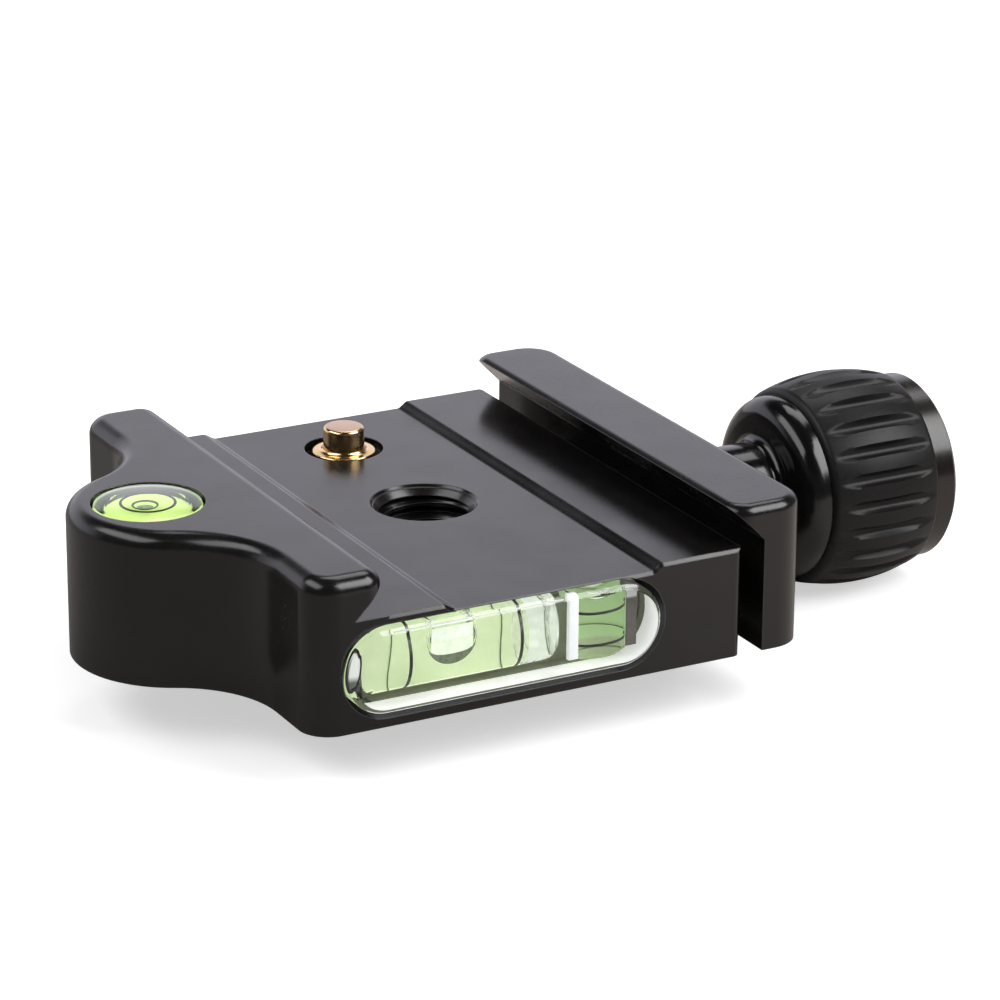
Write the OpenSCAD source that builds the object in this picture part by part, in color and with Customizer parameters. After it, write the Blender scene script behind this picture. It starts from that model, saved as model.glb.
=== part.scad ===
// Dovetail quick release clamp for a camera plate.
// Origin: axis of the central threaded hole, at the bottom face.
// X runs along the knob, Y along the dovetail channel, Z up.

/* [Body] */
// Length of the body along the dovetail channel
body_length = 50; // [44:1:80]
// Height of the jaw tops above the bottom face
body_height = 14.2; // [13.8:0.1:18]
// Height of the channel floor that carries the plate
floor_height = 10.2; // [9.9:0.1:11]
// Depth of the shallow recess in the channel floor
recess_depth = 0.6; // [0.2:0.1:0.8]
// Half width of the recess at its bottom
recess_half = 9.6; // [7:0.1:12]
// Run of each slope at the sides of the recess
recess_slope = 1.4; // [0.4:0.1:2]
// Distance from the centre hole to the body's right face
body_right = 18.95; // [17:0.05:24]
// Rounding of the body's two upright corners on the knob's side
body_corner = 0.8; // [0.3:0.1:2]
// Distance from the centre hole to the root of the fixed dovetail
root_left = 19.3; // [17:0.1:21]
// Overhang of the fixed lip beyond the dovetail root
lip_overhang = 3.13; // [2:0.01:3.4]
// Distance from the centre hole to the outer face of the ears
ear_left = 23.4; // [22:0.1:26]
// Corner radius of the ears at their outer end
ear_corner = 2.8; // [1.7:0.05:3]
// Corner radius of the ears at the lip
lip_corner = 2; // [1.7:0.1:3]
// Radius of the rounded nose that holds the round level
nose_radius = 9.83; // [8:0.01:12]
// Distance from the centre hole to the nose's centre
nose_left = 24.6; // [22:0.1:28]
// Radius of the hollow curve between nose and ear
blend_radius = 10; // [8:0.1:11]
// Radius of the rounded top edge of the fixed jaw
edge_radius = 1.55; // [0.6:0.05:1.6]
// Bevel along the front and back edges of the channel floor
floor_bevel = 0.3; // [0.1:0.05:0.5]

/* [Moving jaw] */
// Gap between the body and the jaw as the photo shows it
jaw_gap = 2.2; // [2.05:0.05:4]
// Thickness of the jaw below its lip
jaw_thickness = 4.85; // [3.8:0.05:8]
// Overhang of the jaw's lip beyond its inner face
jaw_overhang = 3.45; // [2:0.05:3.7]
// Height of the root of the jaw's undercut
jaw_root = 10.65; // [10:0.05:11]
// Clearance of the jaw above the bottom face
jaw_lift = 0.05; // [0:0.05:0.5]
// Step from the body's top down to the jaw's top
jaw_drop = 0.23; // [0:0.01:0.5]
// Corner radius of the jaw's outer vertical edges
jaw_corner = 3.4; // [1.4:0.1:3.6]
// Plan radius of the jaw's two lip corners
jaw_lip_corner = 2.4; // [1.4:0.1:3]
// Radius of the rounded top edge of the moving jaw
jaw_edge = 1.1; // [0.6:0.1:1.2]

/* [Centre hole] */
// Major radius of the threaded centre hole
thread_radius = 4.7625; // [3.1:0.0001:5]
// Radius of the bevel at the mouth of the centre hole
thread_mouth = 5; // [5:0.05:5.6]

/* [Clamp screw] */
// Radius of the clamp screw
screw_radius = 3; // [2:0.1:3.4]
// Height of the screw and knob axis above the bottom face
screw_height = 4.75; // [4:0.05:5.5]
// Distance from the centre hole to the inner end of the screw
screw_start = 9; // [8.5:0.1:12]
// Travel of the jaw towards the body
close_travel = 2; // [1:0.1:2]
// Running clearance of shafts in their bores
fit = 0.05; // [0.02:0.01:0.1]
// Thickness of the washer between jaw and knob
washer_thickness = 0.5; // [0.3:0.1:1]
// Radius of the washer between jaw and knob
washer_radius = 4.9; // [4.5:0.1:6]

/* [Knob] */
// Radius of the neck that runs from the washer to the bell
neck_radius = 4.8; // [3.8:0.1:5.2]
// Length of the neck up to the bell's front
neck_length = 9.5; // [3:0.1:12]
// Radius of the cove between neck and bell
cove_radius = 1; // [0.3:0.1:1.2]
// Step from the grip's end down to the bell
bell_step = 0.5; // [0.2:0.05:0.8]
// Rounding radius of the bell's front
bell_round = 2.1; // [1:0.1:2.4]
// Length of the bell
bell_length = 2.7; // [2.5:0.1:8]
// Largest radius of the rubber grip
grip_radius = 10.3; // [9.8:0.05:12]
// Crown of the rubber grip: its middle above its two ends
grip_crown = 0.95; // [0.5:0.05:1.2]
// Length of the rubber grip
grip_length = 11.75; // [9:0.05:18]
// Wall of the rubber grip at its middle
grip_wall = 2.4; // [2:0.1:2.6]
// Number of flutes in the grip
flute_count = 24; // [12:1:36]
// Radius of the tool that makes a flute
flute_radius = 0.62; // [0.4:0.01:0.9]
// Depth of a flute at the middle of the grip
flute_depth = 0.6; // [0.3:0.05:0.8]
// Step from the grip's end down to the end cap
cap_step = 0.37; // [0.2:0.01:0.8]
// Thickness of the end cap
cap_thickness = 2.3; // [1.5:0.1:4]
// Bevel of the end cap's outer edge
cap_bevel = 0.38; // [0.1:0.01:0.8]
// Wall of the knob round the end cap's spigot
spigot_wall = 1.9; // [1.2:0.1:2.2]
// Length of the end cap's spigot
spigot_length = 2.8; // [1:0.1:3]
// Shaft radius of the screw that locks the knob
lock_radius = 2; // [1:0.1:2.2]
// Head radius of the screw that locks the knob
lock_head_radius = 3.5; // [2.5:0.1:4]
// Head height of the screw that locks the knob
lock_head_height = 3; // [2:0.1:3.5]
// Shaft length of the screw that locks the knob
lock_length = 9; // [6:0.1:9]
// Distance from the grip's inner end to the seat of that screw
lock_setback = 4.2; // [3:0.1:5]

/* [Guide rods] */
// Radius of the guide rods
rod_radius = 2; // [1.5:0.1:2.2]
// Distance of each guide rod from the body's end face
rod_inset = 11; // [10.6:0.1:12]
// Height of the guide rods above the bottom face
rod_height = 5; // [4.5:0.1:5.2]
// Length of rod that slides in the body
rod_engagement = 11.75; // [9:0.05:12]
// Depth of the rod's seat in the jaw
rod_seat = 3.1; // [2:0.1:3.2]
// Radius of the spring pocket round each rod
spring_pocket_radius = 3.2; // [3:0.1:3.4]
// Depth of the spring pocket round each rod
spring_pocket_depth = 5.5; // [4:0.1:7]
// Wire radius of the jaw springs
jaw_wire = 0.25; // [0.15:0.05:0.3]
// Turns of each jaw spring
jaw_turns = 5; // [3:1:7]

/* [Safety pin] */
// Distance of the safety pin from the body's rear end face
pin_inset = 8.35; // [7:0.05:9]
// Radius of the safety pin
pin_radius = 1.95; // [1.2:0.05:2]
// Height of the safety pin above its collar
pin_rise = 2.3; // [1.5:0.1:3]
// Bevel at the top of the safety pin
pin_bevel = 0.3; // [0.1:0.05:0.5]
// Radius of the collar round the pin
bush_radius = 3; // [2.6:0.05:3]
// Length of the collar round the pin
bush_length = 3.2; // [2.5:0.1:3.5]
// Depth of the collar's top below the recess floor
bush_drop = 0.15; // [0:0.05:0.4]
// Radius of the counterbore round the collar
counterbore_radius = 3.75; // [3.2:0.05:4]
// Depth of the counterbore below the collar's top
counterbore_depth = 0.75; // [0.3:0.05:1]
// Thickness of the shoulder that holds the pin under its collar
shoulder_thickness = 1; // [0.6:0.1:1.2]
// Radius of the pin's foot inside the spring
pin_foot_radius = 1.3; // [0.8:0.1:1.4]
// Length of the pin's foot inside the spring
pin_foot_length = 1.3; // [0.8:0.1:1.5]
// Floor left under the pin's spring
pin_floor = 1; // [0.6:0.1:1.5]
// Wire radius of the pin's spring
pin_wire = 0.2; // [0.15:0.05:0.25]
// Turns of the pin's spring
pin_turns = 4; // [3:1:5]

/* [Round level] */
// Distance from the centre hole to the middle of the round level
round_left = 27.36; // [26:0.02:28]
// Radius of the pocket of the round level
round_pocket_radius = 5.1; // [4.5:0.05:5.5]
// Depth of the pocket of the round level
round_pocket_depth = 6; // [4:0.1:8]
// Gap between the round level and its pocket
round_gap = 0.2; // [0.1:0.05:0.4]
// Wall of the round level's capsule
round_wall = 0.9; // [0.5:0.05:1.2]
// Thickness of the capsule's window above the liquid
round_window = 1; // [0.6:0.1:1.5]
// Thickness of the pale disc under the liquid
round_backing = 0.5; // [0.3:0.1:1]
// Radius of the bubble in the round level
round_bubble = 1.1; // [0.8:0.05:1.4]
// Radius of the black circle round the bubble
round_mark_radius = 2.46; // [1.8:0.01:3]
// Width of the black circle's line
round_mark_width = 0.2; // [0.1:0.05:0.4]

/* [Two-way level] */
// Length of the acrylic block of the two-way level
block_length = 30.64; // [28:0.02:34]
// Radius of the block's round ends
block_radius = 3.82; // [3.6:0.01:3.85]
// Distance from the centre hole to the block's middle
block_left = 5.18; // [4.5:0.01:5.6]
// Depth of the block from its front to its back
block_depth = 7.4; // [7:0.1:8]
// Amount by which the block stands out of the front face
block_proud = 1; // [0.2:0.1:1.5]
// Height of the block's middle above the bottom face
block_height = 5.43; // [5.2:0.01:5.45]
// Gap between the block and its pocket
block_gap = 0.48; // [0.45:0.01:0.5]
// Shift of the pocket towards the knob
pocket_shift = 0.42; // [0:0.01:0.44]
// Drop of the pocket below the block's middle
pocket_drop = 0.3; // [0.28:0.01:0.45]
// Bevel of the block's front edge
block_bevel = 0.4; // [0.2:0.05:0.8]
// Thickness of the white strip behind the block
backing_thickness = 0.2; // [0.1:0.05:0.4]
// Radius of the horizontal tube
tube_radius = 2.85; // [2.4:0.05:2.9]
// Height of the horizontal tube's axis above the block's middle
tube_rise = 0.32; // [0:0.01:0.5]
// Distance from the block's front to the tubes' axes
tube_depth = 3.85; // [3.6:0.05:4.2]
// Solid acrylic left at the closed end of the horizontal tube
tube_end_wall = 2.7; // [2:0.05:5]
// Length of the plug that closes the horizontal tube
plug_length = 3.4; // [2:0.1:4]
// Position of the white divider along X
divider_x = 0.6; // [0:0.1:1]
// Thickness of the white divider
divider_thickness = 1.1; // [0.6:0.1:1.2]
// Height of the white divider
divider_height = 6.3; // [5:0.1:7]
// Distance of the two rings from the middle of the horizontal tube
ring_offset = 5.35; // [4:0.05:6]
// Middle of the two rings of the horizontal tube along X
ring_middle = -9.05; // [-10:0.05:-8]
// Width of a black ring
ring_width = 0.22; // [0.1:0.02:0.4]
// Thickness of a black ring
ring_thickness = 0.08; // [0.05:0.01:0.15]
// Radius of the bubble in the horizontal tube
tube_bubble = 2.15; // [1.5:0.05:2.3]
// Position of that bubble along X
tube_bubble_x = -9.65; // [-11:0.05:-8]
// Radius of the upright tube
plumb_radius = 2.7; // [2:0.05:2.8]
// Position of the upright tube along X
plumb_x = 4.75; // [4.6:0.05:5.5]
// Solid acrylic left under the upright tube
plumb_floor = 0.95; // [0.8:0.05:2]
// Length of the plug that closes the upright tube
plumb_plug_length = 1; // [0.6:0.1:1.5]
// Distance of the two rings from the middle of the upright tube
plumb_ring_offset = 1.42; // [1:0.02:1.8]
// Radius of the bubble in the upright tube
plumb_bubble = 1.5; // [1:0.1:1.8]

/* [Hidden] */
$fn = 64;

// Overlap that lets a cut run past the face it opens
over = 1;
half_length = body_length / 2;
rod_offset = half_length - rod_inset;
pin_back = half_length - pin_inset;
recess_floor = floor_height - recess_depth;
lip_x = -root_left + lip_overhang;

// Hollow curve between nose and ear, tangent to both
blend_x = -ear_left - blend_radius;
blend_reach = nose_radius + blend_radius;
blend_y = sqrt(pow(blend_reach, 2) - pow(blend_x + nose_left, 2));
blend_angle = atan2(blend_y, blend_x + nose_left);

// Rim strips that carry the rounded top edge, and the core between them
end_rim = max(ear_corner, lip_corner) + 0.3;
nose_rim = edge_radius + 0.3;
core_inset = edge_radius + 0.15;
jaw_rim = max(jaw_corner, jaw_lip_corner) + 0.3;

// Moving jaw
jaw_inner = body_right + jaw_gap;
jaw_outer = jaw_inner + jaw_thickness;
jaw_lip = jaw_inner - jaw_overhang;

// Knob, measured along its axis from the washer
washer_x = jaw_outer + fit;
knob_x = washer_x + washer_thickness + fit;
bell_start = neck_length;
grip_start = bell_start + bell_length;
grip_end = grip_start + grip_length;
cap_end = grip_end + cap_thickness;
screw_end = knob_x + grip_start + 1;
core_end = grip_end - 0.1;
lock_seat = grip_start + lock_setback;
grip_mid = (grip_start + grip_end) / 2;
grip_end_radius = grip_radius - grip_crown;
grip_bore = grip_radius - grip_wall;
grip_arc = (pow(grip_length / 2, 2) + pow(grip_crown, 2)) / (2 * grip_crown);
bell_radius = grip_end_radius - bell_step;
cap_radius = grip_end_radius - cap_step;
spigot_radius = grip_bore - spigot_wall;
flute_phase = 12.2;

// Guide rods
rod_end = body_right - rod_engagement;
rod_bore_end = rod_end - close_travel - 0.2;
screw_bore_end = screw_start - close_travel - 0.3;
spring_floor = body_right - spring_pocket_depth;
jaw_spring_radius = (rod_radius + spring_pocket_radius) / 2;

// Safety pin
bush_top = recess_floor - bush_drop;
bush_bottom = bush_top - bush_length;
shoulder_top = bush_bottom - fit;
shoulder_bottom = shoulder_top - shoulder_thickness;
shoulder_radius = bush_radius - 0.3;
pin_spring_radius = (pin_foot_radius + bush_radius) / 2;

// Round level
round_radius = round_pocket_radius - round_gap;
round_floor = body_height - round_pocket_depth;
round_chamber = round_radius - round_wall;
round_liquid_floor = round_floor + round_backing;
round_liquid_top = body_height - round_window;

// Two-way level
block_front = -half_length - block_proud;
block_back = block_front + block_depth;
block_top = block_height + block_radius;
block_half = block_length / 2;
pocket_back = block_back + backing_thickness;
tube_y = block_front + tube_depth;
tube_z = block_height + tube_rise;
tube_start = -block_left - block_half + tube_end_wall;
liquid_end = divider_x - plug_length;
divider_floor = block_top - divider_height;
plumb_start = block_height - block_radius + plumb_floor;
plumb_end = block_top - plumb_plug_length;

black = [0.08, 0.08, 0.085];
steel = [0.7, 0.71, 0.73];
brass = [0.78, 0.62, 0.32];
clear = [0.85, 0.95, 0.9, 0.4];
lime = [0.62, 0.85, 0.25, 0.7];

// Section of a rim: outer face at x = 0, rounded at the top
module rim_section(width, height, edge) {
    intersection() {
        square([width, height]);
        union() {
            square([width, height - edge]);
            translate([edge, 0]) square([width + edge, height]);
            translate([edge, height - edge]) circle(r = edge);
        }
    }
}

// Straight rim from point p to point q, with the material on its left
module straight_rim(p, q, height, edge, width = end_rim) {
    run = q - p;
    translate([p[0], p[1], 0])
        rotate([0, 0, atan2(run[1], run[0])])
            rotate([90, 0, 90])
                linear_extrude(height = norm(run))
                    rim_section(width, height, edge);
}

// Rim round an outer corner, from angle a0 to angle a1
module corner_rim(centre, radius, a0, a1, height, edge, width) {
    translate([centre[0], centre[1], 0])
        rotate([0, 0, a0])
            rotate_extrude(angle = a1 - a0, $fn = 96)
                translate([radius, 0])
                    mirror([1, 0])
                        rim_section(width, height, edge);
}

// Rim round a hollow curve, from angle a0 to angle a1
module hollow_rim(centre, radius, a0, a1, height, edge) {
    translate([centre[0], centre[1], 0])
        rotate([0, 0, a0])
            rotate_extrude(angle = a1 - a0, $fn = 96)
                translate([radius, 0])
                    rim_section(nose_rim, height, edge);
}

// Rod or bore along X
module along_x(x0, x1, radius, y = 0, z = screw_height) {
    translate([x0, y, z])
        rotate([0, 90, 0])
            cylinder(r = radius, h = x1 - x0);
}

// Coil of round wire standing on z = 0
module coil_spring(radius, wire, height, turns, sides = 6, steps = 14) {
    rings = turns * steps;
    rise = height - 2 * wire;
    points = [
        for (i = [0:rings], j = [0:sides - 1])
            let (
                turn = i * 360 / steps,
                around = j * 360 / sides,
                reach = radius + wire * cos(around)
            )
            [
                reach * cos(turn),
                reach * sin(turn),
                wire + rise * i / rings + wire * sin(around)
            ]
    ];
    walls = [
        for (i = [0:rings - 1], j = [0:sides - 1])
            let (k = (j + 1) % sides)
            [i * sides + j, i * sides + k, (i + 1) * sides + k, (i + 1) * sides + j]
    ];
    first = [for (j = [sides - 1:-1:0]) j];
    last = [for (j = [0:sides - 1]) rings * sides + j];
    polyhedron(points = points, faces = concat([first], walls, [last]), convexity = 8);
}

// Nose, ears and fixed lip: plan outline with a rounded top edge
module jaw_end() {
    top = body_height;
    ear_c = [-ear_left + ear_corner, half_length - ear_corner];
    lip_c = [lip_x - lip_corner, half_length - lip_corner];
    corner_rim([-nose_left, 0], nose_radius, blend_angle, 360 - blend_angle, top, edge_radius, nose_rim);
    for (side = [0, 1]) {
        mirror([0, side, 0]) {
            hollow_rim([blend_x, -blend_y], blend_radius, 0, 180 - blend_angle, top, edge_radius);
            straight_rim([-ear_left, -blend_y], [-ear_left, -ear_c[1]], top, edge_radius);
            corner_rim([ear_c[0], -ear_c[1]], ear_corner, 180, 270, top, edge_radius, ear_corner);
            straight_rim([ear_c[0], -half_length], [lip_c[0], -half_length], top, edge_radius);
            corner_rim([lip_c[0], -lip_c[1]], lip_corner, 270, 360, top, edge_radius, lip_corner);
        }
    }
    straight_rim([lip_x, -lip_c[1]], [lip_x, lip_c[1]], top, edge_radius);
    linear_extrude(height = top) jaw_end_core();
}

// Middle of the fixed jaw, inside its rim
module jaw_end_core() {
    nose_core = nose_radius - core_inset;
    nose_arc = [
        for (i = [0:8])
            let (a = blend_angle + (360 - 2 * blend_angle) * i / 8)
            [-nose_left + nose_core * cos(a), nose_core * sin(a)]
    ];
    blend_core = blend_radius + core_inset;
    blend_arc = [
        for (i = [1:8])
            let (a = (180 - blend_angle) * (1 - i / 8))
            [blend_x + blend_core * cos(a), -blend_y + blend_core * sin(a)]
    ];
    lower = concat(
        blend_arc,
        [
            [-ear_left + ear_corner, ear_corner - half_length],
            [lip_x - lip_corner, lip_corner - half_length]
        ]
    );
    upper = [for (i = [len(lower) - 1:-1:0]) [lower[i][0], -lower[i][1]]];
    polygon(concat(nose_arc, lower, upper));
}

// Outline of the dovetail channel with its recess, in X and Z
function channel_outline() =
    let (reach = body_height - floor_height + 2 * over)
    [
        [-root_left, floor_height],
        [-recess_half - recess_slope, floor_height],
        [-recess_half, recess_floor],
        [recess_half, recess_floor],
        [recess_half + recess_slope, floor_height],
        [body_right + over, floor_height],
        [body_right + over, floor_height + reach],
        [-root_left + reach, floor_height + reach]
    ];

// Dovetail channel, cut along Y
module channel() {
    translate([0, half_length + over, 0])
        rotate([90, 0, 0])
            linear_extrude(height = body_length + 2 * over)
                polygon(channel_outline());
}

// Round-ended shape of the two-way level, in the plane of the front face
module level_outline(radius) {
    flat = block_length - 2 * block_radius;
    translate([-block_left, 0]) {
        for (side = [-1, 1])
            translate([side * flat / 2, 0]) circle(r = radius);
        translate([-flat / 2, -radius]) square([flat, 2 * radius]);
    }
}

// Places a shape drawn in X and Z so that it runs from y0 to y1
module facing_front(y0, y1, z) {
    translate([0, y1, z])
        rotate([90, 0, 0])
            linear_extrude(height = y1 - y0)
                children();
}

// Bores of screw and rods, drilled from the body's right face
module body_bores() {
    along_x(screw_bore_end, body_right + over, screw_radius + fit);
    for (side = [-1, 1]) {
        along_x(rod_bore_end, body_right + over, rod_radius + fit, side * rod_offset, rod_height);
        along_x(spring_floor, body_right + over, spring_pocket_radius, side * rod_offset, rod_height);
    }
}

// Stepped bore of the safety pin
module pin_bore() {
    translate([0, pin_back, pin_floor]) cylinder(r = bush_radius, h = body_height);
    translate([0, pin_back, bush_top - counterbore_depth])
        cylinder(r = counterbore_radius, h = body_height);
}

// Through hole of the tripod thread, with its bevelled mouth
module centre_hole() {
    translate([0, 0, -over]) cylinder(r = thread_radius, h = body_height);
    bevel = thread_mouth - thread_radius;
    translate([0, 0, recess_floor - bevel])
        cylinder(r1 = thread_radius, r2 = thread_mouth + over, h = bevel + over);
}

// Small bevels where the channel floor meets the front and back faces:
// the channel's outline swept outwards and down at 45 degrees
module floor_bevels() {
    bevel_y = half_length - floor_bevel;
    outline = [
        for (p = channel_outline())
            [max(p[0], lip_x), (p[1] + bevel_y) / sqrt(2)]
    ];
    for (side = [0, 1])
        mirror([0, side, 0])
            rotate([135, 0, 0])
                translate([0, 0, (bevel_y - floor_height) / sqrt(2)])
                    linear_extrude(height = (floor_bevel + over) * sqrt(2))
                        polygon(outline);
}

// Plan of the body's floor, from under the fixed lip to the rounded right corners
module floor_plan() {
    corner_x = body_right - body_corner;
    translate([lip_x - end_rim, -half_length])
        square([corner_x - lip_x + end_rim, body_length]);
    for (side = [-1, 1])
        translate([corner_x, side * (half_length - body_corner)]) circle(r = body_corner);
    translate([corner_x, body_corner - half_length])
        square([body_corner, body_length - 2 * body_corner]);
}

module base_body() color(black) {
    difference() {
        union() {
            jaw_end();
            linear_extrude(height = floor_height + over / 2) floor_plan();
        }
        channel();
        floor_bevels();
        centre_hole();
        pin_bore();
        body_bores();
        facing_front(-half_length - over, pocket_back, block_height)
            translate([pocket_shift, -pocket_drop])
                level_outline(block_radius + block_gap);
        translate([-round_left, 0, round_floor])
            cylinder(r = round_pocket_radius, h = round_pocket_depth + over);
    }
}

module moving_jaw() color(black) {
    top = body_height - jaw_drop - jaw_lift;
    outer_y = half_length - jaw_corner;
    inner_y = half_length - jaw_lip_corner;
    outer_x = jaw_outer - jaw_corner;
    inner_x = jaw_lip + jaw_lip_corner;
    difference() {
        translate([0, 0, jaw_lift]) {
            for (side = [0, 1]) {
                mirror([0, side, 0]) {
                    straight_rim([inner_x, -half_length], [outer_x, -half_length], top, jaw_edge, jaw_rim);
                    corner_rim([outer_x, -outer_y], jaw_corner, 270, 360, top, jaw_edge, jaw_corner);
                    corner_rim([inner_x, -inner_y], jaw_lip_corner, 180, 270, top, jaw_edge, jaw_lip_corner);
                }
            }
            straight_rim([jaw_outer, -outer_y], [jaw_outer, outer_y], top, jaw_edge, jaw_rim);
            straight_rim([jaw_lip, inner_y], [jaw_lip, -inner_y], top, jaw_edge, jaw_rim);
            translate([jaw_lip + jaw_corner, -outer_y, 0])
                cube([outer_x - jaw_lip - jaw_corner, 2 * outer_y, top]);
        }
        rise = body_height - jaw_root + over;
        translate([0, half_length + over, 0])
            rotate([90, 0, 0])
                linear_extrude(height = body_length + 2 * over)
                    polygon([
                        [jaw_inner, -over],
                        [jaw_inner, jaw_root],
                        [jaw_inner - rise, jaw_root + rise],
                        [jaw_lip - 2 * over - rise, jaw_root + rise],
                        [jaw_lip - 2 * over - rise, -over]
                    ]);
        along_x(jaw_inner - over, jaw_outer + over, screw_radius + fit);
        for (side = [-1, 1])
            along_x(jaw_inner - over, jaw_inner + rod_seat + fit, rod_radius + fit, side * rod_offset, rod_height);
    }
}

module guide_rod(side) color(steel) {
    along_x(rod_end, jaw_inner + rod_seat, rod_radius, side * rod_offset, rod_height);
}
module guide_rod_front() guide_rod(-1);
module guide_rod_back() guide_rod(1);

module jaw_spring(side) color(steel) {
    translate([spring_floor, side * rod_offset, rod_height])
        rotate([0, 90, 0])
            coil_spring(jaw_spring_radius, jaw_wire, jaw_inner - spring_floor, jaw_turns);
}
module jaw_spring_front() jaw_spring(-1);
module jaw_spring_back() jaw_spring(1);

module clamp_screw() color(steel) {
    difference() {
        along_x(screw_start, screw_end, screw_radius);
        along_x(knob_x + lock_seat - lock_length - fit, screw_end + over, lock_radius + fit);
    }
}

module thrust_washer() color(steel) {
    difference() {
        along_x(washer_x, washer_x + washer_thickness, washer_radius);
        along_x(washer_x - over, washer_x + washer_thickness + over, screw_radius + fit);
    }
}

// Places a turned piece, drawn with its axis along Z, on the knob's axis
module on_knob_axis() {
    translate([knob_x, 0, screw_height])
        rotate([0, 90, 0])
            children();
}

// Half section of the bell: cove, rounded front and straight band
module bell_section() {
    round_x = bell_start + bell_round;
    round_r = bell_radius - bell_round;
    difference() {
        square([neck_radius + cove_radius, bell_start + cove_radius]);
        translate([neck_radius + cove_radius, bell_start - cove_radius]) circle(r = cove_radius);
        translate([neck_radius, -over]) square([bell_radius, bell_start - cove_radius + over]);
    }
    intersection() {
        translate([round_r, round_x]) circle(r = bell_round);
        square([bell_radius, round_x]);
    }
    translate([0, bell_start]) square([round_r, bell_length]);
    translate([0, round_x]) square([bell_radius, bell_length - bell_round]);
}

module knob_core() color(black) {
    on_knob_axis()
        difference() {
            union() {
                rotate_extrude($fn = 128) bell_section();
                cylinder(r = neck_radius, h = bell_start + over);
                translate([0, 0, grip_start - over]) cylinder(r = grip_bore - fit, h = core_end - grip_start + over);
            }
            translate([0, 0, -over]) cylinder(r = screw_radius + fit, h = screw_end - knob_x + over + fit);
            translate([0, 0, over]) cylinder(r = lock_radius + fit, h = lock_seat);
            translate([0, 0, lock_seat]) cylinder(r = spigot_radius + fit, h = core_end);
        }
}

// Barrel outline of the grip, drawn as a half section
module grip_section() {
    steps = 10;
    half = grip_length / 2;
    arc_r = grip_radius - grip_arc;
    outline = [
        for (i = [0:steps])
            let (a = asin(half / grip_arc) * (2 * i / steps - 1))
            [arc_r + grip_arc * cos(a), grip_mid + grip_arc * sin(a)]
    ];
    polygon(concat([[grip_bore, grip_start]], outline, [[grip_bore, grip_end]]));
}

module knob_grip() color([0.05, 0.05, 0.05]) {
    reach = grip_radius - flute_depth + flute_radius;
    on_knob_axis()
        difference() {
            rotate_extrude($fn = 128) grip_section();
            for (i = [0:flute_count - 1])
                rotate([0, 0, 180 + flute_phase + i * 360 / flute_count])
                    translate([reach, 0, grip_start - over])
                        cylinder(r = flute_radius, h = grip_length + 2 * over, $fn = 24);
        }
}

module knob_end_cap() color(black) {
    on_knob_axis() {
        translate([0, 0, grip_end]) cylinder(r = cap_radius, h = cap_thickness - cap_bevel);
        translate([0, 0, cap_end - cap_bevel])
            cylinder(r1 = cap_radius, r2 = cap_radius - cap_bevel, h = cap_bevel);
        translate([0, 0, grip_end - spigot_length]) cylinder(r = spigot_radius, h = spigot_length + over);
    }
}

module knob_lock_screw() color(steel) {
    on_knob_axis()
        difference() {
            union() {
                translate([0, 0, lock_seat]) cylinder(r = lock_head_radius, h = lock_head_height);
                translate([0, 0, lock_seat - lock_length]) cylinder(r = lock_radius, h = lock_length + over);
            }
            translate([0, 0, lock_seat + lock_head_height / 2]) cylinder(r = 1.7, h = lock_head_height, $fn = 6);
        }
}

module safety_pin() color(brass) {
    top = bush_top + pin_rise;
    translate([0, pin_back, 0]) {
        translate([0, 0, shoulder_bottom]) cylinder(r = pin_radius, h = top - pin_bevel - shoulder_bottom);
        translate([0, 0, top - pin_bevel]) cylinder(r1 = pin_radius, r2 = pin_radius - pin_bevel, h = pin_bevel);
        translate([0, 0, shoulder_bottom]) cylinder(r = shoulder_radius, h = shoulder_thickness);
        translate([0, 0, shoulder_bottom - pin_foot_length])
            cylinder(r = pin_foot_radius, h = pin_foot_length + shoulder_thickness);
    }
}

module pin_bush() color(brass) {
    translate([0, pin_back, bush_bottom])
        difference() {
            cylinder(r = bush_radius, h = bush_length);
            translate([0, 0, -over]) cylinder(r = pin_radius + fit, h = bush_length + 2 * over);
        }
}

module pin_spring() color(steel) {
    translate([0, pin_back, pin_floor])
        coil_spring(pin_spring_radius, pin_wire, shoulder_bottom - pin_floor, pin_turns);
}

module bullseye_vial() color(clear) {
    edge = 0.3;
    translate([-round_left, 0, 0])
        difference() {
            union() {
                translate([0, 0, round_floor]) cylinder(r = round_radius, h = round_pocket_depth - edge);
                translate([0, 0, body_height - edge])
                    cylinder(r1 = round_radius, r2 = round_radius - edge, h = edge);
            }
            translate([0, 0, round_floor - over])
                cylinder(r = round_chamber, h = round_liquid_top - round_floor + over);
        }
}

module bullseye_ring() color(black) {
    translate([-round_left, 0, round_liquid_top - ring_thickness])
        difference() {
            cylinder(r = round_mark_radius + round_mark_width / 2, h = ring_thickness);
            translate([0, 0, -over])
                cylinder(r = round_mark_radius - round_mark_width / 2, h = ring_thickness + 2 * over);
        }
}

module bullseye_liquid() color(lime) {
    difference() {
        translate([-round_left, 0, round_liquid_floor])
            cylinder(r = round_chamber - fit / 2, h = round_liquid_top - ring_thickness - round_liquid_floor);
        translate([-round_left - 0.3, -0.25, round_liquid_top - ring_thickness])
            scale([1, 1, 0.5])
                sphere(r = round_bubble);
    }
}

module bullseye_backing() color([0.95, 0.97, 0.85]) {
    translate([-round_left, 0, round_floor]) cylinder(r = round_chamber - fit, h = round_backing);
}

// Cavity of the horizontal tube, up to the divider's slot
module tube_space(x0, x1, radius) {
    translate([x0, tube_y, tube_z])
        rotate([0, 90, 0])
            cylinder(r = radius, h = x1 - x0);
}

module divider_shape(gap) {
    translate([divider_x - gap, block_front + block_bevel - gap, divider_floor - gap])
        cube([divider_thickness + 2 * gap, block_depth - block_bevel + gap + over, divider_height + gap + over]);
}

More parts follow.
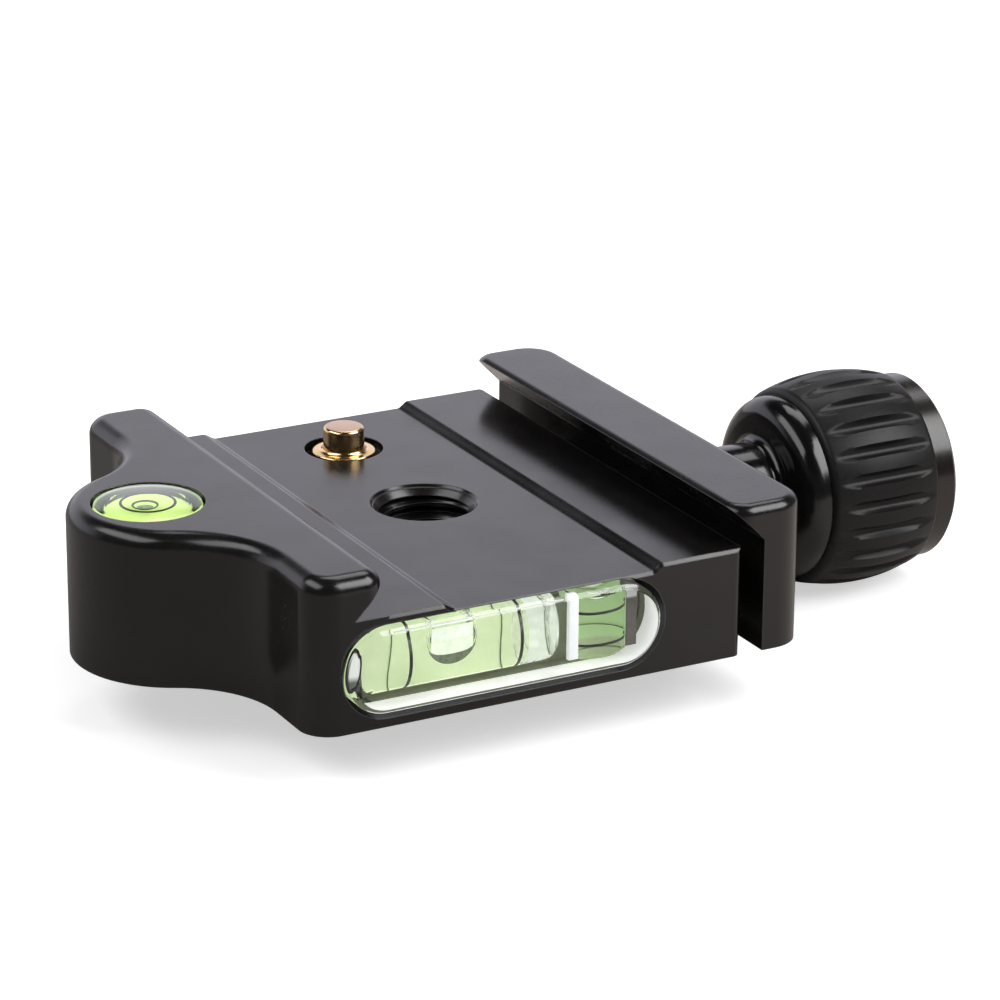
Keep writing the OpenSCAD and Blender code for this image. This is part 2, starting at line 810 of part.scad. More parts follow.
// Solid of the block: round ends and flat middle, bevelled along its front edge
module block_shape() {
    flat = block_half - block_radius;
    shank = block_depth - block_bevel;
    inner = block_radius - block_bevel;
    for (side = [-1, 1])
        translate([side * flat - block_left, block_back, block_height])
            rotate([90, 0, 0]) {
                cylinder(r = block_radius, h = shank);
                translate([0, 0, shank]) cylinder(r1 = block_radius, r2 = inner, h = block_bevel);
            }
    translate([-flat - block_left, 0, block_height])
        rotate([90, 0, 90])
            linear_extrude(height = 2 * flat)
                polygon([
                    [block_back, -block_radius],
                    [block_back, block_radius],
                    [block_front + block_bevel, block_radius],
                    [block_front, inner],
                    [block_front, -inner],
                    [block_front + block_bevel, -block_radius]
                ]);
}

module level_block() color(clear) {
    difference() {
        block_shape();
        tube_space(tube_start, divider_x, tube_radius);
        divider_shape(0);
        translate([plumb_x, tube_y, plumb_start]) cylinder(r = plumb_radius, h = block_top);
    }
}

module level_divider() color("white") {
    translate([divider_x, block_front + block_bevel, divider_floor])
        cube([divider_thickness, block_depth - block_bevel, divider_height]);
}

module level_backing() color("white") {
    facing_front(block_back, pocket_back, block_height) level_outline(block_radius);
}

module tube_rings(gap = 0) {
    for (side = [-1, 1])
        difference() {
            tube_space(
                ring_middle + side * ring_offset - ring_width / 2,
                ring_middle + side * ring_offset + ring_width / 2,
                tube_radius + gap
            );
            tube_space(
                ring_middle + side * ring_offset - ring_width,
                ring_middle + side * ring_offset + ring_width,
                tube_radius - ring_thickness
            );
        }
}

module level_rings() color(black) tube_rings();

module level_liquid() color(lime) {
    difference() {
        tube_space(tube_start, liquid_end, tube_radius);
        tube_rings(over);
        translate([tube_bubble_x, tube_y, tube_z + tube_radius - ring_thickness - tube_bubble])
            sphere(r = tube_bubble);
    }
}

module level_plug() color([0.85, 0.87, 0.85]) {
    tube_space(liquid_end, divider_x, tube_radius);
}

module plumb_ring_pair(gap = 0) {
    for (side = [-1, 1])
        translate([plumb_x, tube_y, block_height + side * plumb_ring_offset - ring_width / 2])
            difference() {
                cylinder(r = plumb_radius + gap, h = ring_width);
                translate([0, 0, -over]) cylinder(r = plumb_radius - ring_thickness, h = ring_width + 2 * over);
            }
}

module plumb_rings() color(black) plumb_ring_pair();

module plumb_liquid() color(lime) {
    difference() {
        translate([plumb_x, tube_y, plumb_start]) cylinder(r = plumb_radius, h = plumb_end - plumb_start);
        plumb_ring_pair(over);
        translate([plumb_x, tube_y, plumb_end]) sphere(r = plumb_bubble);
    }
}

module plumb_plug() color(clear) {
    translate([plumb_x, tube_y, plumb_end]) cylinder(r = plumb_radius, h = plumb_plug_length);
}

base_body();
moving_jaw();
guide_rod_front();
guide_rod_back();
jaw_spring_front();
jaw_spring_back();
clamp_screw();
thrust_washer();
knob_core();
knob_grip();
knob_end_cap();
knob_lock_screw();
safety_pin();
pin_bush();
pin_spring();
bullseye_vial();
bullseye_liquid();
bullseye_ring();
bullseye_backing();
level_block();
level_backing();
level_divider();
level_liquid();
level_rings();
level_plug();
plumb_liquid();
plumb_rings();
plumb_plug();
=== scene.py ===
"""Looks of a dovetail quick release clamp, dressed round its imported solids.

Every object is in metres in the solids' own frame: X along the knob, Y along the
channel and Z up, with the origin on the central threaded hole at the bottom face.
"""
import logging
import math
from dataclasses import dataclass
from enum import Enum
from typing import Callable, Dict, List, Optional, Sequence, Tuple

import bmesh
import bpy
from mathutils import Matrix, Vector


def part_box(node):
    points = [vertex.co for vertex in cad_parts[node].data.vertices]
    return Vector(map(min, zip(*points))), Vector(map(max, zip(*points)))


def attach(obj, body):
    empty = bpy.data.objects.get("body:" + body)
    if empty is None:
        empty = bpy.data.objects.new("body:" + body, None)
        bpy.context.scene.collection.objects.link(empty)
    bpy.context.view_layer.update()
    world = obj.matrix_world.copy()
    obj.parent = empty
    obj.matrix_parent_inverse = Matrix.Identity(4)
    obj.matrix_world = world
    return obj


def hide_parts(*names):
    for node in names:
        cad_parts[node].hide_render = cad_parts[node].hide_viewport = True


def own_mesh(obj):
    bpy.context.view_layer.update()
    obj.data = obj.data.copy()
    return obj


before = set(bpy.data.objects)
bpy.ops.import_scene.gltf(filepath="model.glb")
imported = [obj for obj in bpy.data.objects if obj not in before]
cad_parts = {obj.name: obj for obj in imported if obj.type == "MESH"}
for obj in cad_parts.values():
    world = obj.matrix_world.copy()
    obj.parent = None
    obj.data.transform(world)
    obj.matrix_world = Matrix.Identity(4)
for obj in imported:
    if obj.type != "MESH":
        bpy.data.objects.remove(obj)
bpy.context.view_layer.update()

MM = 0.001
MERGE = 1e-7
FLAT_TURN = 0.012
ALONG_X = Matrix.Rotation(math.radians(90), 4, "Y")
LOG = logging.getLogger("clamp_scene")

Vec3 = Tuple[float, float, float]
Socket = bpy.types.NodeSocket


class Body(Enum):
    """The moving bodies of the clamp."""

    BASE = "base"
    JAW = "jaw"
    KNOB = "knob"
    PIN = "pin"


class Slot(Enum):
    """The material slots that the record names."""

    BODY = "anodised_body"
    JAW = "anodised_jaw"
    GLOSS = "gloss_black_metal"
    STEEL = "steel"
    BRASS = "brass"
    RUBBER = "grip_rubber"
    ACRYLIC = "clear_acrylic"
    LIQUID = "level_liquid"
    FROSTED = "frosted_plug"
    BACKING = "pale_backing"
    MARK = "mark_black"


def at(x: float, y: float, z: float) -> Matrix:
    """Returns the place of a point that is given in mm."""
    return Matrix.Translation((x * MM, y * MM, z * MM))


# Shader helpers


class Shader:
    """Adds nodes to one node tree and links them by name."""

    def __init__(self, tree: bpy.types.NodeTree) -> None:
        """Starts on a tree.

        Args:
            tree: The shader or geometry node tree to add to.
        """
        self.tree = tree

    def add(self, kind: str, settings: Optional[dict] = None, **inputs: object) -> bpy.types.Node:
        """Adds a node.

        Args:
            kind: The node's type name.
            settings: Properties of the node itself.
            **inputs: Values or sockets, named as the input with _ for a space,
                or i0, i1 and so on for an input by its index.

        Returns:
            The new node.
        """
        node = self.tree.nodes.new(kind)
        for key, value in (settings or {}).items():
            setattr(node, key, value)
        return self.fill(node, **inputs)

    def fill(self, node: bpy.types.Node, **inputs: object) -> bpy.types.Node:
        """Feeds a node's inputs, named as in add, and returns the node."""
        for key, value in inputs.items():
            name = int(key[1:]) if key[0] == "i" and key[1:].isdigit() else key.replace("_", " ")
            self.feed(node.inputs[name], value)
        return node

    def group(self, name: str, **inputs: object) -> Dict[str, Socket]:
        """Places a node group by name, with its inputs, and returns its outputs by name."""
        node = self.add("ShaderNodeGroup", {"node_tree": bpy.data.node_groups[name]}, **inputs)
        return {socket.name: socket for socket in node.outputs}

    def feed(self, socket: Socket, value: object) -> None:
        """Links a socket to this one, or sets its value."""
        if isinstance(value, bpy.types.NodeSocket):
            self.tree.links.new(value, socket)
        else:
            socket.default_value = value

    def math(self, operation: str, a: object, b: object = 0.0, c: object = 0.0) -> Socket:
        """Adds a Math node and returns its result."""
        node = self.add("ShaderNodeMath", {"operation": operation}, i0=a, i1=b)
        if operation in ("MULTIPLY_ADD", "SMOOTH_MIN", "SMOOTH_MAX", "COMPARE"):
            self.feed(node.inputs[2], c)
        return node.outputs[0]

    def ramp(self, value: object, low: float, high: float, to_low: float = 0.0, to_high: float = 1.0) -> Socket:
        """Maps a value smoothly from one range to another.

        Args:
            value: The value to map.
            low: Where the change starts.
            high: Where the change ends.
            to_low: The result below low.
            to_high: The result above high.

        Returns:
            The mapped value's socket.
        """
        node = self.add("ShaderNodeMapRange", {"interpolation_type": "SMOOTHSTEP"}, Value=value)
        for key, number in (("From Min", low), ("From Max", high), ("To Min", to_low), ("To Max", to_high)):
            node.inputs[key].default_value = number
        return node.outputs[0]

    def mix(self, factor: object, a: object, b: object) -> Socket:
        """Mixes two colours and returns the result."""
        node = self.add("ShaderNodeMix", {"data_type": "RGBA"}, Factor=factor)
        self.feed(node.inputs[6], a)
        self.feed(node.inputs[7], b)
        return node.outputs[2]


def rgb(red: float, green: float, blue: float) -> Tuple[float, float, float, float]:
    """Returns a linear colour with full alpha."""
    return (red, green, blue, 1.0)


def new_group(name: str, inputs: Sequence[Tuple[str, str, object]], outputs: Sequence[Tuple[str, str]]) -> Shader:
    """Starts a shader node group.

    Args:
        name: The group's name.
        inputs: Name, socket type and default of each input.
        outputs: Name and socket type of each output.

    Returns:
        The helper for the group's tree.
    """
    tree = bpy.data.node_groups.new(name, "ShaderNodeTree")
    for label, kind, default in inputs:
        item = tree.interface.new_socket(label, in_out="INPUT", socket_type=kind)
        item.default_value = default
    for label, kind in outputs:
        tree.interface.new_socket(label, in_out="OUTPUT", socket_type=kind)
    return Shader(tree)


def surface_grain_group() -> bpy.types.NodeTree:
    """Builds the group for fine blasted grain, cloudy tone and lighter edges, which are partly worn bare edges and
    partly a painted highlight.

    Returns:
        A group that puts out a colour, a roughness and a height.
    """
    made = new_group(
        "surface_grain",
        [
            ("Base", "NodeSocketColor", rgb(0.02, 0.02, 0.02)),
            ("Edge Colour", "NodeSocketColor", rgb(0.2, 0.2, 0.2)),
            ("Roughness", "NodeSocketFloat", 0.3),
            ("Grain Scale", "NodeSocketFloat", 6000.0),
            ("Grain Depth", "NodeSocketFloat", 0.5),
            ("Tone Change", "NodeSocketFloat", 0.2),
            ("Edge Width", "NodeSocketFloat", 0.00012),
            ("Edge Amount", "NodeSocketFloat", 0.5),
        ],
        [
            ("Colour", "NodeSocketColor"),
            ("Roughness", "NodeSocketFloat"),
            ("Height", "NodeSocketFloat"),
        ],
    )
    given = made.add("NodeGroupInput").outputs
    place = made.add("ShaderNodeTexCoord").outputs["Object"]
    fine = made.add("ShaderNodeTexNoise", Vector=place, Scale=given["Grain Scale"], Detail=3.0, Roughness=0.65)
    cloud = made.add("ShaderNodeTexNoise", Vector=place, Scale=160.0, Detail=2.0, Roughness=0.5)
    speck = made.ramp(fine.outputs[0], 0.35, 0.7, -0.5, 0.5)
    haze = made.ramp(cloud.outputs[0], 0.3, 0.7, -0.5, 0.5)
    tone = made.math("MULTIPLY_ADD", made.math("ADD", speck, haze), given["Tone Change"], 1.0)
    tinted = made.add("ShaderNodeVectorMath", {"operation": "SCALE"}, i0=given["Base"], Scale=tone).outputs[0]
    # Lighter edges, partly worn bare edge and partly a painted highlight: Edge Colour is mixed in where the rounded
    # normal turns from the flat one.
    rounded = made.add("ShaderNodeBevel", {"samples": 6}, Radius=given["Edge Width"]).outputs[0]
    flat = made.add("ShaderNodeNewGeometry").outputs["Normal"]
    turned = made.add("ShaderNodeVectorMath", {"operation": "DOT_PRODUCT"}, i0=rounded, i1=flat).outputs["Value"]
    edge = made.math("MULTIPLY", made.ramp(turned, 0.99, 0.86), given["Edge Amount"])
    colour = made.mix(edge, tinted, given["Edge Colour"])
    rough = made.math("MULTIPLY_ADD", speck, 0.06, given["Roughness"])
    rough = made.math("MULTIPLY_ADD", haze, 0.05, rough)
    rough = made.math("MULTIPLY_ADD", edge, -0.08, rough)
    height = made.math("MULTIPLY", fine.outputs[0], given["Grain Depth"])
    made.add("NodeGroupOutput", Colour=colour, Roughness=rough, Height=height)
    return made.tree


def turning_lines_group() -> bpy.types.NodeTree:
    """Builds the group for the fine rings that a lathe leaves on turned parts.

    Returns:
        A group that puts out a height and a roughness change along one axis.
    """
    made = new_group(
        "turning_lines",
        [
            ("Axis", "NodeSocketVector", (1.0, 0.0, 0.0)),
            ("Pitch", "NodeSocketFloat", 9000.0),
            ("Strength", "NodeSocketFloat", 0.4),
        ],
        [("Height", "NodeSocketFloat"), ("Change", "NodeSocketFloat")],
    )
    given = made.add("NodeGroupInput").outputs
    place = made.add("ShaderNodeTexCoord").outputs["Object"]
    along = made.add("ShaderNodeVectorMath", {"operation": "DOT_PRODUCT"}, i0=place, i1=given["Axis"])
    scaled = made.math("MULTIPLY", along.outputs["Value"], given["Pitch"])
    lines = made.add("ShaderNodeTexNoise", {"noise_dimensions": "1D"}, W=scaled, Scale=1.0, Detail=2.0)
    height = made.math("MULTIPLY", lines.outputs[0], given["Strength"])
    change = made.math("MULTIPLY_ADD", lines.outputs[0], given["Strength"], -0.2)
    made.add("NodeGroupOutput", Height=height, Change=change)
    return made.tree


# Finishes


class Finish:
    """A finish that builds its material once and hands it out after that."""

    made: Dict[object, bpy.types.Material] = {}

    def material(self) -> bpy.types.Material:
        """Returns the finish's material, built on first use."""
        if self not in Finish.made:
            Finish.made[self] = self.build()
        return Finish.made[self]

    def build(self) -> bpy.types.Material:
        """Builds the material."""
        raise NotImplementedError

    @staticmethod
    def start(name: str) -> Tuple[bpy.types.Material, Shader, bpy.types.Node, bpy.types.Node]:
        """Starts a material with a Principled shader.

        Args:
            name: The material's name.

        Returns:
            The material, its tree's helper, the Principled shader and the output.
        """
        material = bpy.data.materials.new(name)
        material.use_nodes = True
        material.node_tree.nodes.clear()
        made = Shader(material.node_tree)
        surface = made.add("ShaderNodeBsdfPrincipled")
        out = made.add("ShaderNodeOutputMaterial", Surface=surface.outputs[0])
        return material, made, surface, out

    @staticmethod
    def relief(
        made: Shader, surface: bpy.types.Node, height: Socket, strength: float, distance: float, edge: float = 0.0,
    ) -> None:
        """Gives a surface a bump, and rounds the shading of its edges.

        Args:
            made: The material's tree helper.
            surface: The Principled shader.
            height: The bump's height.
            strength: The bump's strength.
            distance: The bump's distance in metres.
            edge: The radius of the shaded edges in metres, or nothing.
        """
        bump = made.add("ShaderNodeBump", Height=height, Strength=strength, Distance=distance)
        if edge:
            made.feed(bump.inputs["Normal"], made.add("ShaderNodeBevel", {"samples": 4}, Radius=edge).outputs[0])
        made.feed(surface.inputs["Normal"], bump.outputs[0])


@dataclass(frozen=True)
class Anodised(Finish):
    """Black anodised aluminium: dark skin over a fine blasted surface."""

    name: str
    base: Vec3 = (0.0050, 0.0044, 0.0042)
    # The edges' lighter colour: partly worn bare aluminium, partly a painted highlight.
    edge: Vec3 = (0.10, 0.097, 0.095)
    roughness: float = 0.22
    grain_scale: float = 5200.0
    grain_depth: float = 0.55
    bump: float = 0.05
    ior: float = 1.52
    edge_width: float = 0.00016
    edge_amount: float = 0.6
    tone_change: float = 0.35

    def build(self) -> bpy.types.Material:
        """Builds the anodised material."""
        material, made, surface, _ = self.start(self.name)
        grain = made.group(
            "surface_grain", Base=rgb(*self.base), Edge_Colour=rgb(*self.edge), Roughness=self.roughness,
            Grain_Scale=self.grain_scale, Grain_Depth=self.grain_depth, Tone_Change=self.tone_change,
            Edge_Width=self.edge_width, Edge_Amount=self.edge_amount,
        )
        made.fill(surface, Base_Color=grain["Colour"], Roughness=grain["Roughness"], IOR=self.ior)
        self.relief(made, surface, grain["Height"], self.bump, 0.00004, self.edge_width)
        return material


@dataclass(frozen=True)
class TurnedMetal(Finish):
    """Bare metal turned on a lathe, with fine rings along one axis."""

    name: str
    colour: Vec3
    dark: Vec3
    axis: Vec3 = (1.0, 0.0, 0.0)
    roughness: float = 0.2
    pitch: float = 9000.0
    bump: float = 0.06
    edge_width: float = 0.00006

    def build(self) -> bpy.types.Material:
        """Builds the turned metal."""
        material, made, surface, _ = self.start(self.name)
        # The lighter edge colour is partly worn edge and partly a painted highlight.
        grain = made.group(
            "surface_grain", Base=rgb(*self.colour), Edge_Colour=rgb(*[min(1.0, c * 1.25) for c in self.colour]),
            Roughness=self.roughness, Grain_Scale=2500.0, Tone_Change=0.12, Edge_Width=self.edge_width,
        )
        lines = made.group("turning_lines", Axis=self.axis, Pitch=self.pitch)
        colour = made.mix(made.math("MULTIPLY", lines["Height"], 0.5), grain["Colour"], rgb(*self.dark))
        rough = made.math("MULTIPLY_ADD", lines["Change"], 0.2, grain["Roughness"])
        made.fill(surface, Base_Color=colour, Roughness=rough, Metallic=1.0)
        self.relief(made, surface, lines["Height"], self.bump, 0.00003, self.edge_width)
        return material


@dataclass(frozen=True)
class Rubber(Finish):
    """Moulded black rubber, matte, with a soft sheen."""

    name: str
    base: Vec3 = (0.0062, 0.0057, 0.0058)
    roughness: float = 0.42

    def build(self) -> bpy.types.Material:
        """Builds the rubber."""
        material, made, surface, _ = self.start(self.name)
        # The lighter edge colour is partly rubbed edge and partly a painted highlight.
        grain = made.group(
            "surface_grain", Base=rgb(*self.base), Edge_Colour=rgb(0.03, 0.03, 0.03), Roughness=self.roughness,
            Grain_Scale=3200.0, Grain_Depth=0.8, Tone_Change=0.3, Edge_Width=0.0001, Edge_Amount=0.25,
        )
        made.fill(surface, Base_Color=grain["Colour"], Roughness=grain["Roughness"], Specular_IOR_Level=0.26)
        made.fill(surface, Sheen_Weight=0.01, Sheen_Roughness=0.4)
        self.relief(made, surface, grain["Height"], 0.12, 0.00006)
        return material


@dataclass(frozen=True)
class ClearPlastic(Finish):
    """Clear or tinted plastic or liquid that lets the lamps reach what is behind it."""

    name: str
    tint: Vec3 = (0.985, 0.995, 0.99)
    passed: Vec3 = (0.97, 0.98, 0.97)
    roughness: float = 0.0
    ior: float = 1.49
    ripple: float = 0.012
    ripple_scale: float = 350.0

    def build(self) -> bpy.types.Material:
        """Builds the clear material."""
        material, made, surface, out = self.start(self.name)
        place = made.add("ShaderNodeTexCoord").outputs["Object"]
        wave = made.add("ShaderNodeTexNoise", Vector=place, Scale=self.ripple_scale, Detail=1.0).outputs[0]
        shade = made.ramp(wave, 0.2, 0.8, 0.97, 1.0)
        tint = made.add("ShaderNodeVectorMath", {"operation": "SCALE"}, i0=self.tint, Scale=shade).outputs[0]
        made.fill(surface, Base_Color=tint, Roughness=self.roughness, Transmission_Weight=1.0, IOR=self.ior)
        self.relief(made, surface, wave, self.ripple, 0.0002)
        path = made.add("ShaderNodeLightPath").outputs
        clear = made.add("ShaderNodeBsdfTransparent", Color=rgb(*self.passed))
        blocked = made.math("MAXIMUM", path["Is Shadow Ray"], path["Is Diffuse Ray"])
        both = made.add("ShaderNodeMixShader", i0=blocked, i1=surface.outputs[0], i2=clear.outputs[0])
        made.fill(out, Surface=both.outputs[0])
        return material


@dataclass(frozen=True)
class Painted(Finish):
    """Opaque plastic, paint or ink with a slight unevenness, with an optional painted glow and an optional second
    tone from a height up, which paint light and shade.
    """

    name: str
    colour: Vec3 = (0.85, 0.86, 0.82)
    roughness: float = 0.5
    change: float = 0.05
    # Painted light: an emission that makes the piece glow though it is no lamp.
    glow: float = 0.0
    # Painted light and shade: a second tone from a given height upwards.
    painted_top_tone: Optional[Vec3] = None
    painted_top_span: Tuple[float, float] = (0.0, 1.0)

    def build(self) -> bpy.types.Material:
        """Builds the painted material."""
        material, made, surface, _ = self.start(self.name)
        grain = made.group(
            "surface_grain", Base=rgb(*self.colour), Edge_Colour=rgb(*self.colour), Roughness=self.roughness,
            Grain_Scale=1800.0, Tone_Change=self.change, Edge_Width=0.00003,
        )
        tone = grain["Colour"]
        # Painted light and shade: the second tone is mixed in from the given height up.
        if self.painted_top_tone:
            place = made.add("ShaderNodeTexCoord").outputs["Object"]
            height = made.add("ShaderNodeSeparateXYZ", Vector=place).outputs["Z"]
            low, high = (value * MM for value in self.painted_top_span)
            tone = made.mix(made.ramp(height, low, high), tone, rgb(*self.painted_top_tone))
        made.fill(surface, Base_Color=tone, Roughness=grain["Roughness"])
        # Painted light: the piece glows though it is no lamp.
        if self.glow:
            made.fill(surface, Emission_Color=tone, Emission_Strength=self.glow)
        return material


BODY_BLACK = Anodised("anodised_body_black")
JAW_BLACK = Anodised("anodised_jaw_black", roughness=0.23)
KNOB_GLOSS = Anodised(
    "knob_gloss_black", base=(0.0035, 0.0033, 0.0035), roughness=0.17, grain_depth=0.3, bump=0.01,
    tone_change=0.1, edge_width=0.00005, edge_amount=0.2, ior=1.5,
)
CAP_SATIN = Anodised(
    "cap_satin_black", base=(0.0095, 0.0062, 0.0055), roughness=0.22, grain_depth=0.3, bump=0.015,
    tone_change=0.15, edge_width=0.00006, edge_amount=0.3,
)
THREAD_BLACK = Anodised("thread_black", base=(0.0040, 0.0036, 0.0034), roughness=0.2, edge_amount=0.6)
MOUTH_BROWN = Anodised("mouth_brown_black", base=(0.010, 0.007, 0.007), roughness=0.26, edge_amount=0.3)
STEEL = TurnedMetal("turned_steel", (0.56, 0.57, 0.58), (0.3, 0.3, 0.31))
SPRING_STEEL = TurnedMetal("spring_steel", (0.5, 0.5, 0.52), (0.28, 0.28, 0.29), pitch=4000.0)
BRASS = TurnedMetal(
    "polished_brass", (0.86, 0.60, 0.30), (0.55, 0.33, 0.12), axis=(0.0, 0.0, 1.0), roughness=0.17, pitch=12000.0,
)
BRASS_TOP = TurnedMetal(
    "brass_top", (0.76, 0.55, 0.40), (0.58, 0.38, 0.25), axis=(0.7, 0.7, 0.0), roughness=0.34, pitch=5000.0,
)
GRIP_RUBBER = Rubber("grip_rubber_black")
ACRYLIC = ClearPlastic("clear_acrylic_polished")
LIQUID = ClearPlastic(
    "level_liquid_green", tint=(0.95, 0.985, 0.88), passed=(0.97, 0.985, 0.93), ior=1.04, ripple=0.0,
)
LIME_LIQUID = ClearPlastic(
    "round_level_liquid_lime", tint=(0.93, 0.99, 0.78), passed=(0.95, 0.99, 0.88), ior=1.04, ripple=0.0,
)
BUBBLE = ClearPlastic("bubble_skin", tint=(0.97, 1.0, 0.95), passed=(0.97, 0.98, 0.96), ior=1.36, ripple=0.0)
PLUG = ClearPlastic(
    "frosted_plug_grey", tint=(0.98, 0.99, 0.97), passed=(0.96, 0.97, 0.95), roughness=0.14, ior=1.10, ripple=0.3,
)
# Painted shade: dark olive where the tube shades the block's back, with a little painted glow.
BACK_PAINTED_SHADE = Painted("level_back_painted_shade", (0.25, 0.27, 0.19), 0.55, change=0.2, glow=0.12)
# Painted light: a pale liner behind the level tube that glows, standing in for the light in the liquid; it turns
# darker and greener towards the tube's top as painted shade.
TUBE_GLOW_LINER = Painted(
    "tube_liner_painted_glow", (0.85, 0.93, 0.72), 0.5, glow=0.3, change=0.08,
    painted_top_tone=(0.58, 0.72, 0.46), painted_top_span=(7.4, 8.2),
)
# Painted light: a white liner that glows behind the plug.
PLUG_GLOW_LINER = Painted("plug_liner_painted_glow", (0.84, 0.88, 0.82), 0.5, glow=0.34, change=0.3)
# Painted light: a green liner that glows behind the upright tube, darker at its foot as painted shade.
UPRIGHT_GLOW_LINER = Painted(
    "upright_liner_painted_glow", (0.46, 0.53, 0.38), 0.5, glow=0.2, change=0.1,
    painted_top_tone=(0.52, 0.70, 0.42), painted_top_span=(3.2, 3.5),
)
# Painted light: a white skin that glows, a bright band along the block's underside and a painted highlight round its
# right end.
WHITE_WALL_GLOW = Painted("level_wall_white_painted_glow", (0.91, 0.91, 0.92), 0.5, glow=0.46, change=0.06)
# Painted shade and highlight: a dark brown web, pale at its top, standing in for the dark and bright refraction
# beside the upright tube.
WEB_SHADE_AND_HIGHLIGHT = Painted(
    "level_web_painted_shade_and_highlight", (0.10, 0.092, 0.078), 0.5, glow=0.05, change=0.3,
    painted_top_tone=(0.86, 0.88, 0.84), painted_top_span=(6.9, 7.2),
)
# The divider's own white, with a little painted glow.
WHITE_BAR = Painted("white_bar_plastic", (0.86, 0.88, 0.88), 0.4, glow=0.15)
# The backing disc's own lime colour, lifted by a painted glow.
ROUND_DISC = Painted("round_level_disc", (0.78, 0.93, 0.44), 0.5, glow=0.26)
# Painted shade: a dark cone round the disc where the capsule looks dark, with a pale painted band at its top edge.
ROUND_CUP_SHADE = Painted(
    "round_level_cup_painted_shade", (0.05, 0.06, 0.045), 0.35, painted_top_tone=(0.42, 0.55, 0.33), painted_top_span=(13.1, 13.4),
)
# Painted shade: the dark rim round the round level's bubble.
BUBBLE_RIM_SHADE = Painted("round_bubble_rim_painted_shade", (0.035, 0.06, 0.03), 0.3)
# Painted shade: the grey disc under the round level's bubble.
BUBBLE_GREY_SHADE = Painted("round_bubble_grey_painted_shade", (0.30, 0.37, 0.28), 0.25, change=0.3)
# Painted shade: the dark olive lower edge of the level tube's bubble.
BUBBLE_EDGE_SHADE = Painted("tube_bubble_painted_shade", (0.17, 0.20, 0.14), 0.3, change=0.2, glow=0.05)
# Painted light: the glowing pale cap of the level tube's bubble.
BUBBLE_CAP_LIGHT = Painted("tube_bubble_painted_light", (0.74, 0.80, 0.68), 0.3, change=0.12, glow=0.42)
# Painted highlight: the bright line under the block's top front edge.
TOP_EDGE_HIGHLIGHT = Painted("level_top_edge_painted_highlight", (0.52, 0.56, 0.48), 0.4, change=0.2, glow=0.06)
# Painted shade and light: the left end's lens, dark below and pale above with a little glow.
LENS_SHADE_AND_LIGHT = Painted(
    "lens_painted_shade_and_light", (0.10, 0.10, 0.09), 0.2, glow=0.1, change=0.2, painted_top_tone=(0.72, 0.74, 0.70), painted_top_span=(4.9, 5.6),
)
# Painted shadow: fine dark green lines where the rings' shadows fall on the tubes' backs.
SHADOW_LINE_GREEN = Painted("painted_shadow_line_green", (0.15, 0.21, 0.12), 0.5, change=0.5)
MARK_INK = Painted("mark_ink", (0.012, 0.014, 0.012), 0.35)


# Mesh helpers


def keep(name: str, bm: bmesh.types.BMesh, finish: Finish) -> bpy.types.Object:
    """Makes a linked object from a mesh in work, and frees that mesh.

    Args:
        name: The piece's name.
        bm: The mesh in work.
        finish: The finish that it gets.

    Returns:
        The linked object.
    """
    mesh = bpy.data.meshes.new(name)
    bm.to_mesh(mesh)
    bm.free()
    mesh.materials.append(finish.material())
    made = bpy.data.objects.new(name, mesh)
    bpy.context.scene.collection.objects.link(made)
    return made


def lathe(
    name: str, profile: Sequence[Tuple[float, float]], finish: Finish, place: Matrix, steps: int = 96,
) -> bpy.types.Object:
    """Turns a closed or axis-to-axis outline round Z and places it.

    Args:
        name: The piece's name.
        profile: Radius and height pairs in mm, from the bottom outwards and up.
        finish: The finish that it gets.
        place: Where the turned form goes, with metres as its unit.
        steps: The number of steps round.

    Returns:
        The turned object.
    """
    bm = bmesh.new()
    rows: List[List[bmesh.types.BMVert]] = []
    for radius, height in profile:
        if radius < 1e-6:
            rows.append([bm.verts.new((0.0, 0.0, height * MM))])
            continue
        row = []
        for i in range(steps):
            turn = 2 * math.pi * i / steps
            row.append(bm.verts.new((radius * MM * math.cos(turn), radius * MM * math.sin(turn), height * MM)))
        rows.append(row)
    closed = len(rows[0]) > 1 and len(rows[-1]) > 1
    for k in range(len(rows) if closed else len(rows) - 1):
        low, high = rows[k], rows[(k + 1) % len(rows)]
        for i in range(steps):
            j = (i + 1) % steps
            ring = [low[i % len(low)], low[j % len(low)], high[j % len(high)], high[i % len(high)]]
            ring = [v for n, v in enumerate(ring) if v not in ring[:n]]
            if len(ring) > 2:
                bm.faces.new(ring)
    bmesh.ops.recalc_face_normals(bm, faces=bm.faces)
    bm.transform(place)
    made = keep(name, bm, finish)
    smooth(made, 30.0)
    return made


def smooth(item: bpy.types.Object, angle: float) -> None:
    """Shades a mesh smoothly, except over edges sharper than an angle.

    Args:
        item: The object to shade.
        angle: The sharpest smooth edge, in degrees.
    """
    mesh = item.data
    mesh.polygons.foreach_set("use_smooth", [True] * len(mesh.polygons))
    bm = bmesh.new()
    bm.from_mesh(mesh)
    limit = math.radians(angle)
    for edge in bm.edges:
        edge.smooth = len(edge.link_faces) == 2 and edge.calc_face_angle(0.0) < limit
    bm.to_mesh(mesh)
    bm.free()


